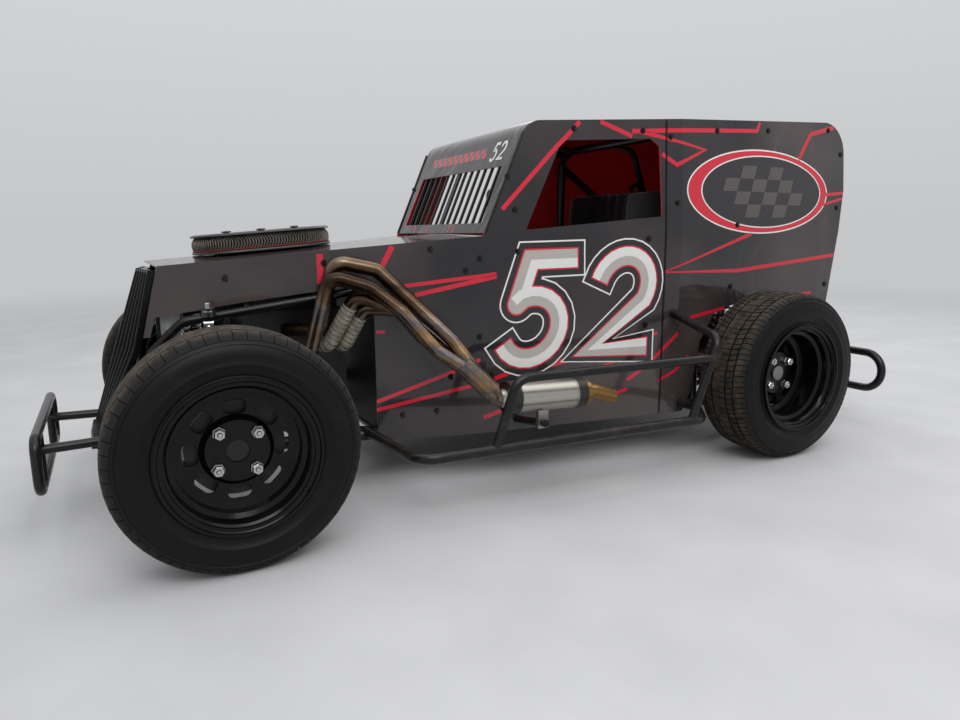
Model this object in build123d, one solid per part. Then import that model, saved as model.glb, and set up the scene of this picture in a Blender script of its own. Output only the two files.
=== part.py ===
from build123d import *
import math
import os

os.makedirs("parts", exist_ok=True)

# A five-eighths scale oval-track racing sedan, in mm.
# X runs back from the nose, the car's left side is at negative Y, Z is up from the floor.
# A station is a distance behind the front axle, and the origin lies midway along the car.

# Overall sizes
WHEELBASE = 1854
FRONT_OVERHANG = 448
REAR_OVERHANG = 713
FRONT_X = FRONT_OVERHANG - (FRONT_OVERHANG + WHEELBASE + REAR_OVERHANG) / 2
GAP = 0.3                     # seat of one piece on another
SHEET = 3                     # body panels, flanges counted in

# Wheels
TYRE_R = 290
RIM_R = 186
BEAD_R = 168
WELL_R = 150
RIM_WALL = 4
WINDOW_R = 104                # circle of the windows in the wheel's disc
WINDOW_COUNT = 8
PAD_R = 74                    # flat middle of the disc, bolted to the hub
PAD_T = 6
HUB_R = 32
CAP_R = 26
SPINDLE_R = 15
DISC_R = 116                  # brake disc
# end of the car: rim's outer face from the centre plane, rim width, tread width, pad's depth in the rim
FRONT_WHEEL = dict(face=712, width=190, tread=150, dish=72)
REAR_WHEEL = dict(face=742, width=216, tread=186, dish=108)

# Steering
KINGPIN_Y = 480
KINGPIN_R = 10
BOSS_R = 22
BOSS_H = 90
ARM = 105                     # tie rod arm, ahead of the kingpin
DRAG_ARM = 95                 # drag link arm, behind the kingpin
PIN_R = 6
EYE_R = 14
EYE_H = 22
EYE_GAP = 1.2
PITMAN_Y = 150
STEER_WHEEL_R = 160
COLUMN_FOOT = (60, PITMAN_Y, 412)
COLUMN_KNEE = (470, 215, 560)
COLUMN_HEAD = (1060, 0, 775)

# Body, as stations and half widths
NOSE_S, NOSE_HALF = -123, 152
COWL_S, COWL_HALF = 809, 372
POST_S, POST_HALF = WHEELBASE - 327, 470
TAIL_S, TAIL_HALF = WHEELBASE + 574, 440
FIREWALL_S = 467
SEAM_S = POST_S - 64          # side panel to quarter panel
SILL_Z = TYRE_R - 141
BELT_Z = 790
TUMBLE = 26                   # lean of the sides from the belt to the top
ROOF_S, ROOF_Z = 959, 1135    # corner of windshield and roof lines, before rounding
ROOF_RISE = 0.0536
TOP_Z = ROOF_Z + ROOF_RISE * (TAIL_S - ROOF_S) + 26
ROOF_FRONT_R = 75
ROOF_REAR_R = 120

# Frame and cage
RAIL_R = 19
RAIL_Z = SILL_Z + RAIL_R
NOSE_TUBE_R = 13
CAGE_R = 17
DRIVE_Y, SHAFT_R = 110, 26    # the drive line runs right of the seat
SLANT = 1.03                  # a tube's reach sideways where it runs along the tapering sides
FRAME_FRONT_S = -235
FRAME_REAR_S = WHEELBASE + 478


def at(s):
    return FRONT_X + s


def half(s):
    rows = [(NOSE_S, NOSE_HALF), (COWL_S, COWL_HALF), (POST_S, POST_HALF), (TAIL_S, TAIL_HALF)]
    for (s0, h0), (s1, h1) in zip(rows, rows[1:]):
        if s <= s1 or s1 == TAIL_S:
            return h0 + (h1 - h0) * (s - s0) / (s1 - s0)


def lean(z):
    return TUMBLE * max(0, z - BELT_Z) / (TOP_Z - BELT_Z)


def roof_z(s):
    return ROOF_Z + ROOF_RISE * (s - ROOF_S)


def beside(s, z, r):
    """Y of a tube of radius r that lies against the left side panel."""
    return -(half(s) - lean(z) - SHEET - r * SLANT - GAP)


def tube(rows, r, bend=0):
    """A tube through rows of station, y, z, with round bends."""
    points = [Vector(at(s), y, z) for s, y, z in rows]
    if len(points) == 2:
        path = Line(*points)
    else:
        path = FilletPolyline(*points, radius=bend)
    return sweep(Plane(origin=path @ 0, z_dir=path % 0) * Circle(r), path=path)


def rod(start, end, r):
    a, b = Vector(at(start[0]), *start[1:]), Vector(at(end[0]), *end[1:])
    return Plane(origin=a, z_dir=b - a) * Cylinder(
        r, (b - a).length, align=(Align.CENTER, Align.CENTER, Align.MIN))


def block(s0, s1, y0, y1, z0, z1):
    return Pos(at(s0), y0, z0) * Box(s1 - s0, y1 - y0, z1 - z0, align=Align.MIN)


def upright(s, y, z0, z1, r):
    return Pos(at(s), y, z0) * Cylinder(r, z1 - z0, align=(Align.CENTER, Align.CENTER, Align.MIN))


def crosswise(s, z, y0, y1, r):
    return rod((s, y0, z), (s, y1, z), r)


def prism(rows, y0=-700, y1=700):
    """A side outline of station, z, carried across from y0 to y1."""
    face = make_face(Polyline(*[(at(s), 0, z) for s, z in rows], close=True))
    return Pos(0, y0, 0) * extrude(face, amount=y1 - y0, dir=(0, 1, 0))


def slab(rows, z0, z1):
    """A plan outline of station, y, carried up from z0 to z1."""
    face = make_face(Polyline(*[(at(s), y, z0) for s, y in rows], close=True))
    return extrude(face, amount=z1 - z0, dir=(0, 0, 1))


def both(shape):
    return [shape, mirror(shape, about=Plane.XZ)]


def fuse(shapes):
    shapes = list(shapes)
    return shapes[0] + shapes[1:] if len(shapes) > 1 else shapes[0]


def save(name, shape):
    solids = shape.solids()
    export_step(solids[0] if len(solids) == 1 else Compound(solids), f"parts/{name}.step")


# Wheels, built with the outer face at y = 0 and the axle along Y, inboard at positive y


def turned(rows):
    """A ring turned about Y from rows of depth inboard, radius."""
    face = make_face(Polyline(*[(r, d, 0) for d, r in rows], close=True))
    return revolve(face, axis=Axis.Y)


def tyre(width, tread):
    mid = width / 2
    edge, shoulder = mid - tread / 2, 22
    # depth inboard, radius: down one sidewall, across the bead, up the other
    outer = [(12, RIM_R + 2), (4, RIM_R + 34), (edge - 4, TYRE_R - shoulder), (edge + 14, TYRE_R)]
    bead = [(38, BEAD_R), (12, BEAD_R)]
    rows = outer + [(width - d, r) for d, r in reversed(outer)]
    rows += [(width - d, r) for d, r in reversed(bead)] + [(width - 50, BEAD_R + 34), (50, BEAD_R + 34)]
    return turned(rows + bead)


def rim(width, dish):
    # depth inboard, radius: tyre side outwards in, then the bore side back out
    over = [(0, RIM_R), (8, RIM_R), (8, BEAD_R - GAP), (44, BEAD_R - GAP - 2), (54, WELL_R)]
    back = [(width - d, r) for d, r in reversed(over)]
    inner = [(width, RIM_R - RIM_WALL), (width - 36, BEAD_R - 8), (width - 50, WELL_R - RIM_WALL)]
    # depth from the pad's outer face, radius: the disc seen from inboard, then from outboard
    disc_back = [(16, WELL_R - RIM_WALL), (20, 130), (20, PAD_R + 10), (PAD_T, PAD_R), (PAD_T, 28)]
    disc_front = [(0, 28), (0, PAD_R), (15, PAD_R + 12), (15, 128), (8, WELL_R - RIM_WALL)]
    # depth, radius: the steps from the disc out to the rim's lip
    steps = [(50, WELL_R - RIM_WALL), (44, WELL_R + 7), (25, WELL_R + 9),
             (20, BEAD_R - 6), (6, RIM_R - 8), (0, RIM_R - 6)]
    inner += [(dish + d, r) for d, r in disc_back + disc_front] + steps
    wheel = turned(over + back + inner)
    window = Pos(0, dish + 12, 0) * extrude(
        Plane.XZ * RectangleRounded(54, 36, 14), amount=30, both=True)
    for i in range(WINDOW_COUNT):
        wheel -= Rot(0, i * 360 / WINDOW_COUNT, 0) * Pos(0, 0, WINDOW_R) * window
    return wheel


def hub(dish, reach, shaft):
    """The hub behind the pad: flange, barrel and brake disc. The front one has a bore and a sunk
    cap, the rear one a half shaft and a raised cap."""
    face = dish + PAD_T
    rows = [(face, 0), (face, PAD_R - 4), (face + 12, PAD_R - 4), (face + 12, HUB_R)]
    rows += [(face + 26, HUB_R), (face + 26, DISC_R), (face + 36, DISC_R), (face + 36, HUB_R)]
    rows += [(face + reach, HUB_R)]
    if shaft:
        rows += [(face + reach, SPINDLE_R), (face + reach + 60, SPINDLE_R), (face + reach + 60, 0)]
    else:
        rows += [(face + reach, SPINDLE_R + GAP), (face + 8, SPINDLE_R + GAP), (face + 8, 0)]
    cap_out = dish - PAD_T if shaft else dish + 3
    cap = [(cap_out, 0), (cap_out, CAP_R), (face + 1, CAP_R), (face + 1, 0)]
    return turned(rows) + turned(cap)


HUB_REACH = 74
for end, s, wheel, shaft in (("front", 0, FRONT_WHEEL, False), ("rear", WHEELBASE, REAR_WHEEL, True)):
    place = Pos(at(s), -wheel["face"], TYRE_R)
    pieces = [("tyre", tyre(wheel["width"], wheel["tread"])),
              ("wheel", rim(wheel["width"], wheel["dish"])),
              ("hub", hub(wheel["dish"], HUB_REACH, shaft))]
    for name, piece in pieces:
        left, right = both(place * piece)
        save(f"{name}_{end}_left", left)
        save(f"{name}_{end}_right", right)

# Frame: two lower rails with cross tubes, and the nose tubes over them


RAIL_KINK_S = FIREWALL_S - 40
NOSE_TAPER = 0.13


def rail_y(s):
    beside_panel = half(max(s, RAIL_KINK_S)) - SHEET - RAIL_R * SLANT - GAP
    return max(0, RAIL_KINK_S - s) * NOSE_TAPER - beside_panel


rail_rows = [(s, rail_y(s), RAIL_Z) for s in (FRAME_FRONT_S, RAIL_KINK_S, COWL_S, POST_S, FRAME_REAR_S)]
frame = [tube(rail_rows, RAIL_R, 60)]
frame += [mirror(frame[0], about=Plane.XZ)]
HOOP_S = POST_S + 110
CROSS_S = (FRAME_FRONT_S + 30, FIREWALL_S + 24, 1000, HOOP_S, WHEELBASE + 170, FRAME_REAR_S - 30)
for s in CROSS_S:
    frame.append(crosswise(s, RAIL_Z, rail_y(s), -rail_y(s), RAIL_R - 3))


NOSE_CORNER_S, HOOD_BEND_S = -151, 350
POST_AT = 55                  # uprights behind the axle


def nose_y(s):
    """The nose tubes start beside the grille and tuck in under the hood's lower edge."""
    share = (s - NOSE_CORNER_S) / (HOOD_BEND_S - NOSE_CORNER_S)
    return -(166 + (half(HOOD_BEND_S) - 14 - 166) * share)


cowl_y = -(half(FIREWALL_S) - SHEET - NOSE_TUBE_R * SLANT - GAP)
NOSE_TOP = ((-62, 548), (HOOD_BEND_S, 608))
nose_rows = [(FRAME_FRONT_S + 20, rail_y(FRAME_FRONT_S), RAIL_Z), (NOSE_CORNER_S, nose_y(NOSE_CORNER_S), 462)]
nose_rows += [(s, nose_y(s), z) for s, z in NOSE_TOP] + [(FIREWALL_S + 10, cowl_y, 634)]
frame += both(tube(nose_rows, NOSE_TUBE_R, 60))


def nose_z(s):
    """Height of the nose tubes between their bend over the radiator and the engine bay."""
    (s0, z0), (s1, z1) = NOSE_TOP
    return z0 + (z1 - z0) * (s - s0) / (s1 - s0)


STRUT_OUT = 46                # springs' upper eyes, outboard of the nose tubes
ear_z = nose_z(0)
frame += both(block(-12, 12, nose_y(0) - STRUT_OUT - 12, nose_y(0), ear_z - 8, ear_z + 8))
post = [(POST_AT, nose_y(POST_AT), nose_z(POST_AT)), (POST_AT, rail_y(POST_AT), RAIL_Z)]
frame += both(rod(*post, NOSE_TUBE_R - 2))
MUFFLER = dict(s0=783, s1=1058, y=-540, r=48)
HANGER_S, HANGER_Z, HANGER_R = 915, 212, 12
hanger = [(HANGER_S, rail_y(HANGER_S), HANGER_Z - 30), (HANGER_S, MUFFLER["y"] - 22, HANGER_Z)]
frame.append(rod(*hanger, HANGER_R))
frame = fuse(frame)
save("frame", frame)

# Front axle and steering

EAR_T = 16
EAR_GAP = 1
SPRING_Y = 340
SPRING_FOOT_Z = TYRE_R + 34   # top of the springs' pads on the axle
EAR_Z = BOSS_H / 2 + EAR_GAP
axle = crosswise(0, TYRE_R, -KINGPIN_Y, KINGPIN_Y, 28)
for side in (-1, 1):
    axle += upright(0, side * KINGPIN_Y, TYRE_R - BOSS_H / 2, TYRE_R + BOSS_H / 2, BOSS_R)
for side in (-1, 1):
    axle -= upright(0, side * KINGPIN_Y, TYRE_R - BOSS_H, TYRE_R + BOSS_H, KINGPIN_R + GAP)
    axle -= block(-60, 60, *sorted((side * (KINGPIN_Y + BOSS_R), side * (KINGPIN_Y + 60))), 200, 400)
    axle += upright(0, side * SPRING_Y, TYRE_R, SPRING_FOOT_Z, 15)
save("front_axle", axle)

SPINDLE_END = FRONT_WHEEL["face"] - FRONT_WHEEL["dish"] - PAD_T - 10
LOW_EAR = (TYRE_R - EAR_Z - EAR_T, TYRE_R - EAR_Z)
HIGH_EAR = (TYRE_R + EAR_Z, TYRE_R + EAR_Z + EAR_T)
TIE_Z = LOW_EAR[0] - EYE_GAP - EYE_H / 2
DRAG_Z = HIGH_EAR[1] + EYE_GAP + EYE_H / 2
WEB_Y = KINGPIN_Y + BOSS_R + 3


def knuckle(drag):
    """The left knuckle: two ears on the kingpin, a web, the spindle and its arms."""
    k = upright(0, -KINGPIN_Y, LOW_EAR[0], HIGH_EAR[1], KINGPIN_R)
    for z0, z1 in (LOW_EAR, HIGH_EAR):
        k += upright(0, -KINGPIN_Y, z0, z1, BOSS_R) + block(-20, 20, -WEB_Y - 14, -KINGPIN_Y, z0, z1)
    k += block(-20, 20, -WEB_Y - 14, -WEB_Y, LOW_EAR[0], HIGH_EAR[1])
    k += rod((0, -WEB_Y - 7, TYRE_R), (0, -SPINDLE_END, TYRE_R), SPINDLE_R)
    k += block(-ARM, 0, -KINGPIN_Y - 11, -KINGPIN_Y + 11, LOW_EAR[0], LOW_EAR[0] + 12)
    k += upright(-ARM, -KINGPIN_Y, LOW_EAR[0], LOW_EAR[0] + 12, EYE_R)
    k += upright(-ARM, -KINGPIN_Y, TIE_Z - EYE_H / 2, LOW_EAR[0] + 2, PIN_R)
    if drag:
        k += block(0, DRAG_ARM, -KINGPIN_Y - 11, -KINGPIN_Y + 11, HIGH_EAR[1] - 12, HIGH_EAR[1])
        k += upright(DRAG_ARM, -KINGPIN_Y, HIGH_EAR[1] - 12, HIGH_EAR[1], EYE_R)
        k += upright(DRAG_ARM, -KINGPIN_Y, HIGH_EAR[1] - 2, DRAG_Z + EYE_H / 2, PIN_R)
    return k


save("knuckle_left", knuckle(False))
save("knuckle_right", mirror(knuckle(True), about=Plane.XZ))


def link(s, y0, y1, z, r):
    """A rod with an eye at each end."""
    rodded = crosswise(s, z, y0, y1, r)
    for y in (y0, y1):
        rodded += upright(s, y, z - EYE_H / 2, z + EYE_H / 2, EYE_R)
    for y in (y0, y1):
        rodded -= upright(s, y, z - EYE_H, z + EYE_H, PIN_R + GAP)
    return rodded


save("tie_rod", link(-ARM, -KINGPIN_Y, KINGPIN_Y, TIE_Z, 10))
save("drag_link", link(DRAG_ARM, PITMAN_Y, KINGPIN_Y, DRAG_Z, 9))

pitman = block(0, DRAG_ARM, PITMAN_Y - 11, PITMAN_Y + 11, HIGH_EAR[1] - 12, HIGH_EAR[1])
pitman += upright(0, PITMAN_Y, HIGH_EAR[1] - 12, HIGH_EAR[1], 18)
pitman += upright(DRAG_ARM, PITMAN_Y, HIGH_EAR[1] - 12, HIGH_EAR[1], EYE_R)
pitman += upright(DRAG_ARM, PITMAN_Y, HIGH_EAR[1] - 2, DRAG_Z + EYE_H / 2, PIN_R)
pitman += upright(0, PITMAN_Y, HIGH_EAR[1] - 2, HIGH_EAR[1] + 36, 11)
save("pitman_arm", pitman)

BOX_Z = HIGH_EAR[1] + 14
column = block(-45, 60, PITMAN_Y - 34, PITMAN_Y + 34, BOX_Z, BOX_Z + 78)
column -= upright(0, PITMAN_Y, BOX_Z - 10, HIGH_EAR[1] + 38, 11 + GAP)
column += tube([COLUMN_FOOT, COLUMN_KNEE, COLUMN_HEAD], 11, 60)
column += block(POST_AT - 8, 60, PITMAN_Y, -nose_y(POST_AT), BOX_Z + 30, BOX_Z + 42)
column -= frame
head = Vector(at(COLUMN_HEAD[0]), *COLUMN_HEAD[1:])
knee = Vector(at(COLUMN_KNEE[0]), *COLUMN_KNEE[1:])
aim = (head - knee).normalized()
save("steering_column", column)

spoke_plane = Plane(origin=head + aim * 30, z_dir=aim)
wheel_ring = spoke_plane * Torus(STEER_WHEEL_R, 13)
for angle in (90, 210, 330):
    wheel_ring += spoke_plane * Rot(0, 0, angle) * Pos(STEER_WHEEL_R / 2, 0, 0) * Box(STEER_WHEEL_R, 26, 5)
wheel_ring += spoke_plane * Cylinder(34, 14)
wheel_ring += Plane(origin=head + aim * GAP, z_dir=aim) * Cylinder(
    14, 30, align=(Align.CENTER, Align.CENTER, Align.MIN))
save("steering_wheel", wheel_ring)

# Roll cage


def cage_place(s, z, r=CAGE_R):
    return (s, beside(s, z, r) + 1.5, z)


CAGE_DROP = SHEET + CAGE_R + GAP + 6
hoop_top = roof_z(HOOP_S) - CAGE_DROP
foot_z = RAIL_Z + 6
front_leg = [cage_place(700, foot_z), cage_place(846, BELT_Z - 40),
             cage_place(ROOF_S + 40, roof_z(ROOF_S + 40) - CAGE_DROP - 14), cage_place(HOOP_S, hoop_top)]
cage = both(tube(front_leg, CAGE_R, 90))
hoop = [cage_place(HOOP_S, foot_z), cage_place(HOOP_S, hoop_top)]
cage.append(tube(hoop + [(s, -y, z) for s, y, z in reversed(hoop)], CAGE_R, 90))
for s, z in ((846, BELT_Z - 40), (ROOF_S + 60, roof_z(ROOF_S + 60) - CAGE_DROP - 12), (HOOP_S, 760)):
    y = cage_place(s, z)[1]
    cage.append(crosswise(s, z, y, -y, CAGE_R - 2))
for z in (330, 520):
    cage += both(rod(cage_place(745, z), cage_place(HOOP_S, z), CAGE_R - 2))
y = cage_place(HOOP_S, hoop_top)[1]
front_y = cage_place(ROOF_S + 60, roof_z(ROOF_S + 60))[1]
cage.append(rod((ROOF_S + 60, front_y + 40, roof_z(ROOF_S + 60) - CAGE_DROP - 12),
                (HOOP_S, -y - 60, hoop_top), CAGE_R - 2))
cage = fuse(cage) - frame
save("roll_cage", cage)

# Stays behind the hoop, with the posts and cross tube that carry the rear springs
STAY_LOW_S, STAY_LOW_Z = TAIL_S - 110, 620
stay_rows = [cage_place(HOOP_S, hoop_top - 60), cage_place(STAY_LOW_S, STAY_LOW_Z),
             cage_place(FRAME_REAR_S - 20, foot_z)]
stays = both(tube(stay_rows, CAGE_R - 2, 60))
SHOCK_S, SHOCK_Z = WHEELBASE + 70, 640
stay_rise = (STAY_LOW_Z - stay_rows[0][2]) / (STAY_LOW_S - HOOP_S)
stay_z = stay_rows[0][2] + stay_rise * (SHOCK_S - HOOP_S)
stays += both(rod(cage_place(SHOCK_S, foot_z), cage_place(SHOCK_S, stay_z), CAGE_R - 3))
for s, z in ((STAY_LOW_S, STAY_LOW_Z), (SHOCK_S, SHOCK_Z)):
    y = cage_place(s, z)[1]
    stays.append(crosswise(s, z, y, -y, CAGE_R - 2))

# Seat brace behind the seat: a bent tube from the hoop down to the springs' cross tube, with a
# drilled gusset in front of it
BRACE_Y = 60
BRACE_R = 13
brace_rows = [(HOOP_S, BRACE_Y, hoop_top), (HOOP_S + 108, BRACE_Y, hoop_top - 27), (SHOCK_S, BRACE_Y, SHOCK_Z)]
gusset = prism([(HOOP_S + 91, 977), (HOOP_S + 155, 1010), (SHOCK_S - 38, 740), (HOOP_S + 160, 740)],
               BRACE_Y - SHEET / 2, BRACE_Y + SHEET / 2)
for i in range(3):
    gusset -= crosswise(HOOP_S + 127 + 6 * i, 966 - 46 * i, BRACE_Y - SHEET, BRACE_Y + SHEET, 11)
stays = fuse(stays + [tube(brace_rows, BRACE_R, 50), gusset]) - frame - cage
save("cage_stays", stays)

# Side bars, which pass through the side sheets to the rails and the cage
GUARD_R = 16
GUARD_Z = 186
GUARD_TOP_Z = 386
# station, y, z of each tube's corners
low_bar = [(440, rail_y(440), GUARD_Z - 8), (462, -634, GUARD_Z), (POST_S - 87, -690, GUARD_Z),
           (POST_S + 18, -560, GUARD_Z), (POST_S + 29, rail_y(POST_S + 29), GUARD_Z - 8)]
top_bar = [(690, -648, GUARD_Z), (760, -652, GUARD_TOP_Z), (POST_S - 47, -690, GUARD_TOP_Z)]
guard_post = [(POST_S - 131, -688, GUARD_Z), (POST_S - 27, -688, 450),
              (POST_S - 22, cage_place(POST_S - 22, 520)[1], 514)]


def guard_bars(grow):
    return [tube(low_bar, GUARD_R + grow, 70), tube(top_bar, GUARD_R - 2 + grow, 50),
            tube(guard_post, GUARD_R - 2 + grow, 45)]


bar = fuse(guard_bars(0)) - frame - cage
for name, piece in zip(("left", "right"), both(bar)):
    save(f"guard_bar_{name}", piece)
bar_holes = fuse(guard_bars(GAP))

# Body shell: the side sheets, and the sheets that run over from windshield to tail


def side_sheet():
    stations = (NOSE_S - 80, COWL_S, POST_S, TAIL_S + 60)

    def strip(z):
        outer = [(at(s), -(half(s) - lean(z)), z) for s in stations]
        inner = [(x, y + SHEET, z) for x, y, z in reversed(outer)]
        return make_face(Polyline(*outer, *inner, close=True))

    low = SILL_Z - 20
    return extrude(strip(low), amount=BELT_Z - low, dir=(0, 0, 1)) + loft(
        [strip(BELT_Z), strip(TOP_Z)], ruled=True)


def full_width():
    stations = (COWL_S - 60, POST_S, TAIL_S + 60)

    def plan(z):
        left = [(at(s), -(half(s) - lean(z)), z) for s in stations]
        return make_face(Polyline(*left, *[(x, -y, z) for x, y, z in reversed(left)], close=True))

    low = SILL_Z - 20
    return extrude(plan(low), amount=BELT_Z - low, dir=(0, 0, 1)) + loft(
        [plan(BELT_Z), plan(TOP_Z)], ruled=True)


TAIL_TOP_S = TAIL_S - 12
TAIL_BEND_S, TAIL_BEND_Z = TAIL_S, 950
TAIL_FOOT_S, TAIL_FOOT_Z = TAIL_S - 69, 503
SHIELD_SLOPE = (ROOF_S - COWL_S) / (ROOF_Z - BELT_Z)


def over_profile(inset):
    """Side outline of windshield, roof and tail, with round corners, as a solid across the car."""
    rows = [(COWL_S - 300 * SHIELD_SLOPE, BELT_Z - 300), (ROOF_S, ROOF_Z),
            (TAIL_TOP_S, roof_z(TAIL_TOP_S)), (TAIL_BEND_S, TAIL_BEND_Z), (TAIL_FOOT_S, TAIL_FOOT_Z),
            (TAIL_FOOT_S - 40, BELT_Z - 300)]
    face = make_face(Polyline(*[(at(s), 0, z) for s, z in rows], close=True))
    corners = face.vertices().sort_by(Axis.Z)
    rear_top, front_top = corners[-1], corners[-2]
    face = fillet(front_top, ROOF_FRONT_R)
    face = fillet(face.vertices().sort_by_distance(rear_top.center())[0], ROOF_REAR_R)
    if inset:
        face = offset(face, amount=-inset)
    return Pos(0, -700, 0) * extrude(face, amount=1400, dir=(0, 1, 0))


outside = over_profile(0)
inside = over_profile(SHEET)
over_sheet = (outside - inside) & full_width()
below_belt = prism([(COWL_S - 400, SILL_Z - 60), (COWL_S - 400, BELT_Z), (TAIL_FOOT_S - 60, BELT_Z),
                    (TAIL_FOOT_S - 60, SILL_Z - 60)])
over_sheet -= below_belt
over_sheet -= prism([(0, 0), (0, TAIL_FOOT_Z + 0.01), (TAIL_S + 100, TAIL_FOOT_Z + 0.01), (TAIL_S + 100, 0)])

ROOF_BREAK = ROOF_S + 60      # where the windshield sheet ends on the roof
TAIL_BREAK_Z = roof_z(TAIL_S) - ROOF_REAR_R - 20
shield_zone = prism([(0, 0), (0, TOP_Z), (ROOF_BREAK, TOP_Z), (ROOF_BREAK, 0)])
tail_zone = prism([(ROOF_BREAK, 0), (ROOF_BREAK, TAIL_BREAK_Z), (TAIL_S + 100, TAIL_BREAK_Z), (TAIL_S + 100, 0)])

# windshield opening: distance up the slope from the cowl and half width
OPEN_LOW, OPEN_HIGH = (34, 320), (228, 314)
slope = Vector(ROOF_S - COWL_S, 0, ROOF_Z - BELT_Z).normalized()
shield_plane = Plane(origin=(at(COWL_S), 0, BELT_Z), x_dir=(0, -1, 0), z_dir=(-slope.Z, 0, slope.X))
opening = [(side * wide, up) for side, (up, wide) in
           ((-1, OPEN_LOW), (1, OPEN_LOW), (1, OPEN_HIGH), (-1, OPEN_HIGH))]
hole = extrude(shield_plane * make_face(Polyline(*opening, close=True)), amount=30, both=True)
save("windshield_panel", (over_sheet & shield_zone) - hole)
save("roof", over_sheet - shield_zone - tail_zone)
save("tail_panel", over_sheet & tail_zone)

# Bars over the windshield opening, behind the sheet
BAR_COUNT = 13
BAR_W, BAR_D = 8, 8
POST_W = 24
bars = []
depth = SHEET + GAP + BAR_D / 2
length = OPEN_HIGH[0] - OPEN_LOW[0] + 40
middle = (OPEN_HIGH[0] + OPEN_LOW[0]) / 2
for i in range(BAR_COUNT):
    y = (i - (BAR_COUNT - 1) / 2) * 2 * (OPEN_LOW[1] - 6) / BAR_COUNT
    width = POST_W if i == BAR_COUNT // 2 else BAR_W
    bars.append(shield_plane * Pos(y, middle, -depth) * Box(width, length, BAR_D))
for end in (OPEN_LOW[0] - 14, OPEN_HIGH[0] + 14):
    bars.append(shield_plane * Pos(0, end, -depth) * Box(2 * OPEN_LOW[1] + 10, 12, BAR_D))
save("windshield_bars", fuse(bars))

# Side panels. Rows of station, z
hood_edge = [(-146, 505), (-130, 561), (-39, 575), (94, 596), (352, 629), (503, 659), (518, 676),
             (COWL_S - 5, 717)]
door_line = [(COWL_S - 5, 717), (609, SILL_Z)]
(edge_s0, edge_z0), (edge_s1, edge_z1) = hood_edge[4:6]
edge_z = edge_z0 + (edge_z1 - edge_z0) * (FIREWALL_S - edge_s0) / (edge_s1 - edge_s0)
cowl_rows = [(FIREWALL_S, SILL_Z), (FIREWALL_S, edge_z)] + hood_edge[5:] + door_line[1:]
door_rows = [(609, SILL_Z), (COWL_S - 5, 717), (COWL_S - 5, BELT_Z - 2), (COWL_S - 5, TOP_Z), (SEAM_S, TOP_Z),
             (SEAM_S, SILL_Z)]
ARCH_FRONT_S = WHEELBASE - 138
quarter_rows = [(SEAM_S, SILL_Z), (SEAM_S, TOP_Z), (TAIL_S + 50, TOP_Z), (TAIL_S + 50, TAIL_FOOT_Z),
                (TAIL_FOOT_S, TAIL_FOOT_Z), (ARCH_FRONT_S + 90, 522), (ARCH_FRONT_S, 508),
                (ARCH_FRONT_S - 74, 400), (ARCH_FRONT_S - 112, 214), (ARCH_FRONT_S - 150, SILL_Z)]
window_rows = [(945, 799), (1075, 1078), (SEAM_S - 63, 1096), (SEAM_S - 27, 1072), (SEAM_S - 17, 842)]
cab_sides = side_sheet() & (inside + below_belt)
door = (cab_sides & prism(door_rows)) - prism(window_rows) - bar_holes
door_left = door - rod(*hanger, HANGER_R + GAP)
quarter = (cab_sides & prism(quarter_rows)) - bar_holes
cowl = side_sheet() & prism(cowl_rows)
for name, panel, left in (("cowl_side", cowl, cowl), ("side_panel", door, door_left),
                          ("quarter_panel", quarter, quarter)):
    save(f"{name}_left", left)
    save(f"{name}_right", mirror(panel, about=Plane.XZ))

# Hood: a folded sheet from the grille to the windshield
HOOD_NOSE_Z = (699, 712)      # at the side, on the centre line
HOOD_REAR_Z = (782, 789)
HOOD_START_S = NOSE_S - 60
NOSE_LEAD = 25                # how far the prow leads the nose's corners
GRILLE_LEAN = 0.24


def hood_solid(inset):
    faces = []
    for s, (side_z, mid_z) in ((HOOD_START_S, HOOD_NOSE_Z), (COWL_S, HOOD_REAR_Z)):
        h = half(s) - inset
        rows = [(-h, 480), (-h, side_z - inset), (0, mid_z - inset), (h, side_z - inset), (h, 480)]
        faces.append(make_face(Polyline(*[(at(s), y, z) for y, z in rows], close=True)))
    return loft(faces, ruled=True)


hood_side = prism([(-260, 505)] + hood_edge + [(COWL_S - 5, 900), (-260, 900)])
hood = (hood_solid(0) - hood_solid(SHEET)) & hood_side
V_Z = 760
v_shift = GRILLE_LEAN * (V_Z - HOOD_NOSE_Z[0])
corner_s = NOSE_S + 7 + v_shift
v_rows = [(-400, -2 * NOSE_HALF), (corner_s + NOSE_LEAD, -2 * NOSE_HALF), (corner_s - NOSE_LEAD, 0),
          (corner_s + NOSE_LEAD, 2 * NOSE_HALF), (-400, 2 * NOSE_HALF)]
v_face = make_face(Polyline(*[(at(s), y, V_Z) for s, y in v_rows], close=True))
nose_cut = extrude(v_face, amount=300, dir=(-GRILLE_LEAN, 0, -1))
hood -= nose_cut

# Air filter on its flange, tilted with the hood
FILTER_S = 208
FILTER_L, FILTER_W, FILTER_H = 424, 240, 52
hood_rise = (HOOD_REAR_Z[1] - HOOD_NOSE_Z[1]) / (COWL_S - HOOD_START_S)
filter_z = HOOD_NOSE_Z[1] + hood_rise * (FILTER_S - HOOD_START_S)
filter_plane = Plane(origin=(at(FILTER_S), 0, filter_z), x_dir=(1, 0, hood_rise), z_dir=(-hood_rise, 0, 1))


def oval(grow, z0, z1):
    face = filter_plane * Pos(0, 0, z0) * SlotOverall(FILTER_L + 2 * grow, FILTER_W + 2 * grow)
    return extrude(face, amount=z1 - z0)


hood -= oval(-30, -60, 60)
save("hood", hood)
air_filter = oval(-6, 6, FILTER_H) + oval(0, 2, 10) + oval(0, FILTER_H, FILTER_H + 8) + oval(-38, -46, 4)
save("air_filter", air_filter)

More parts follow.
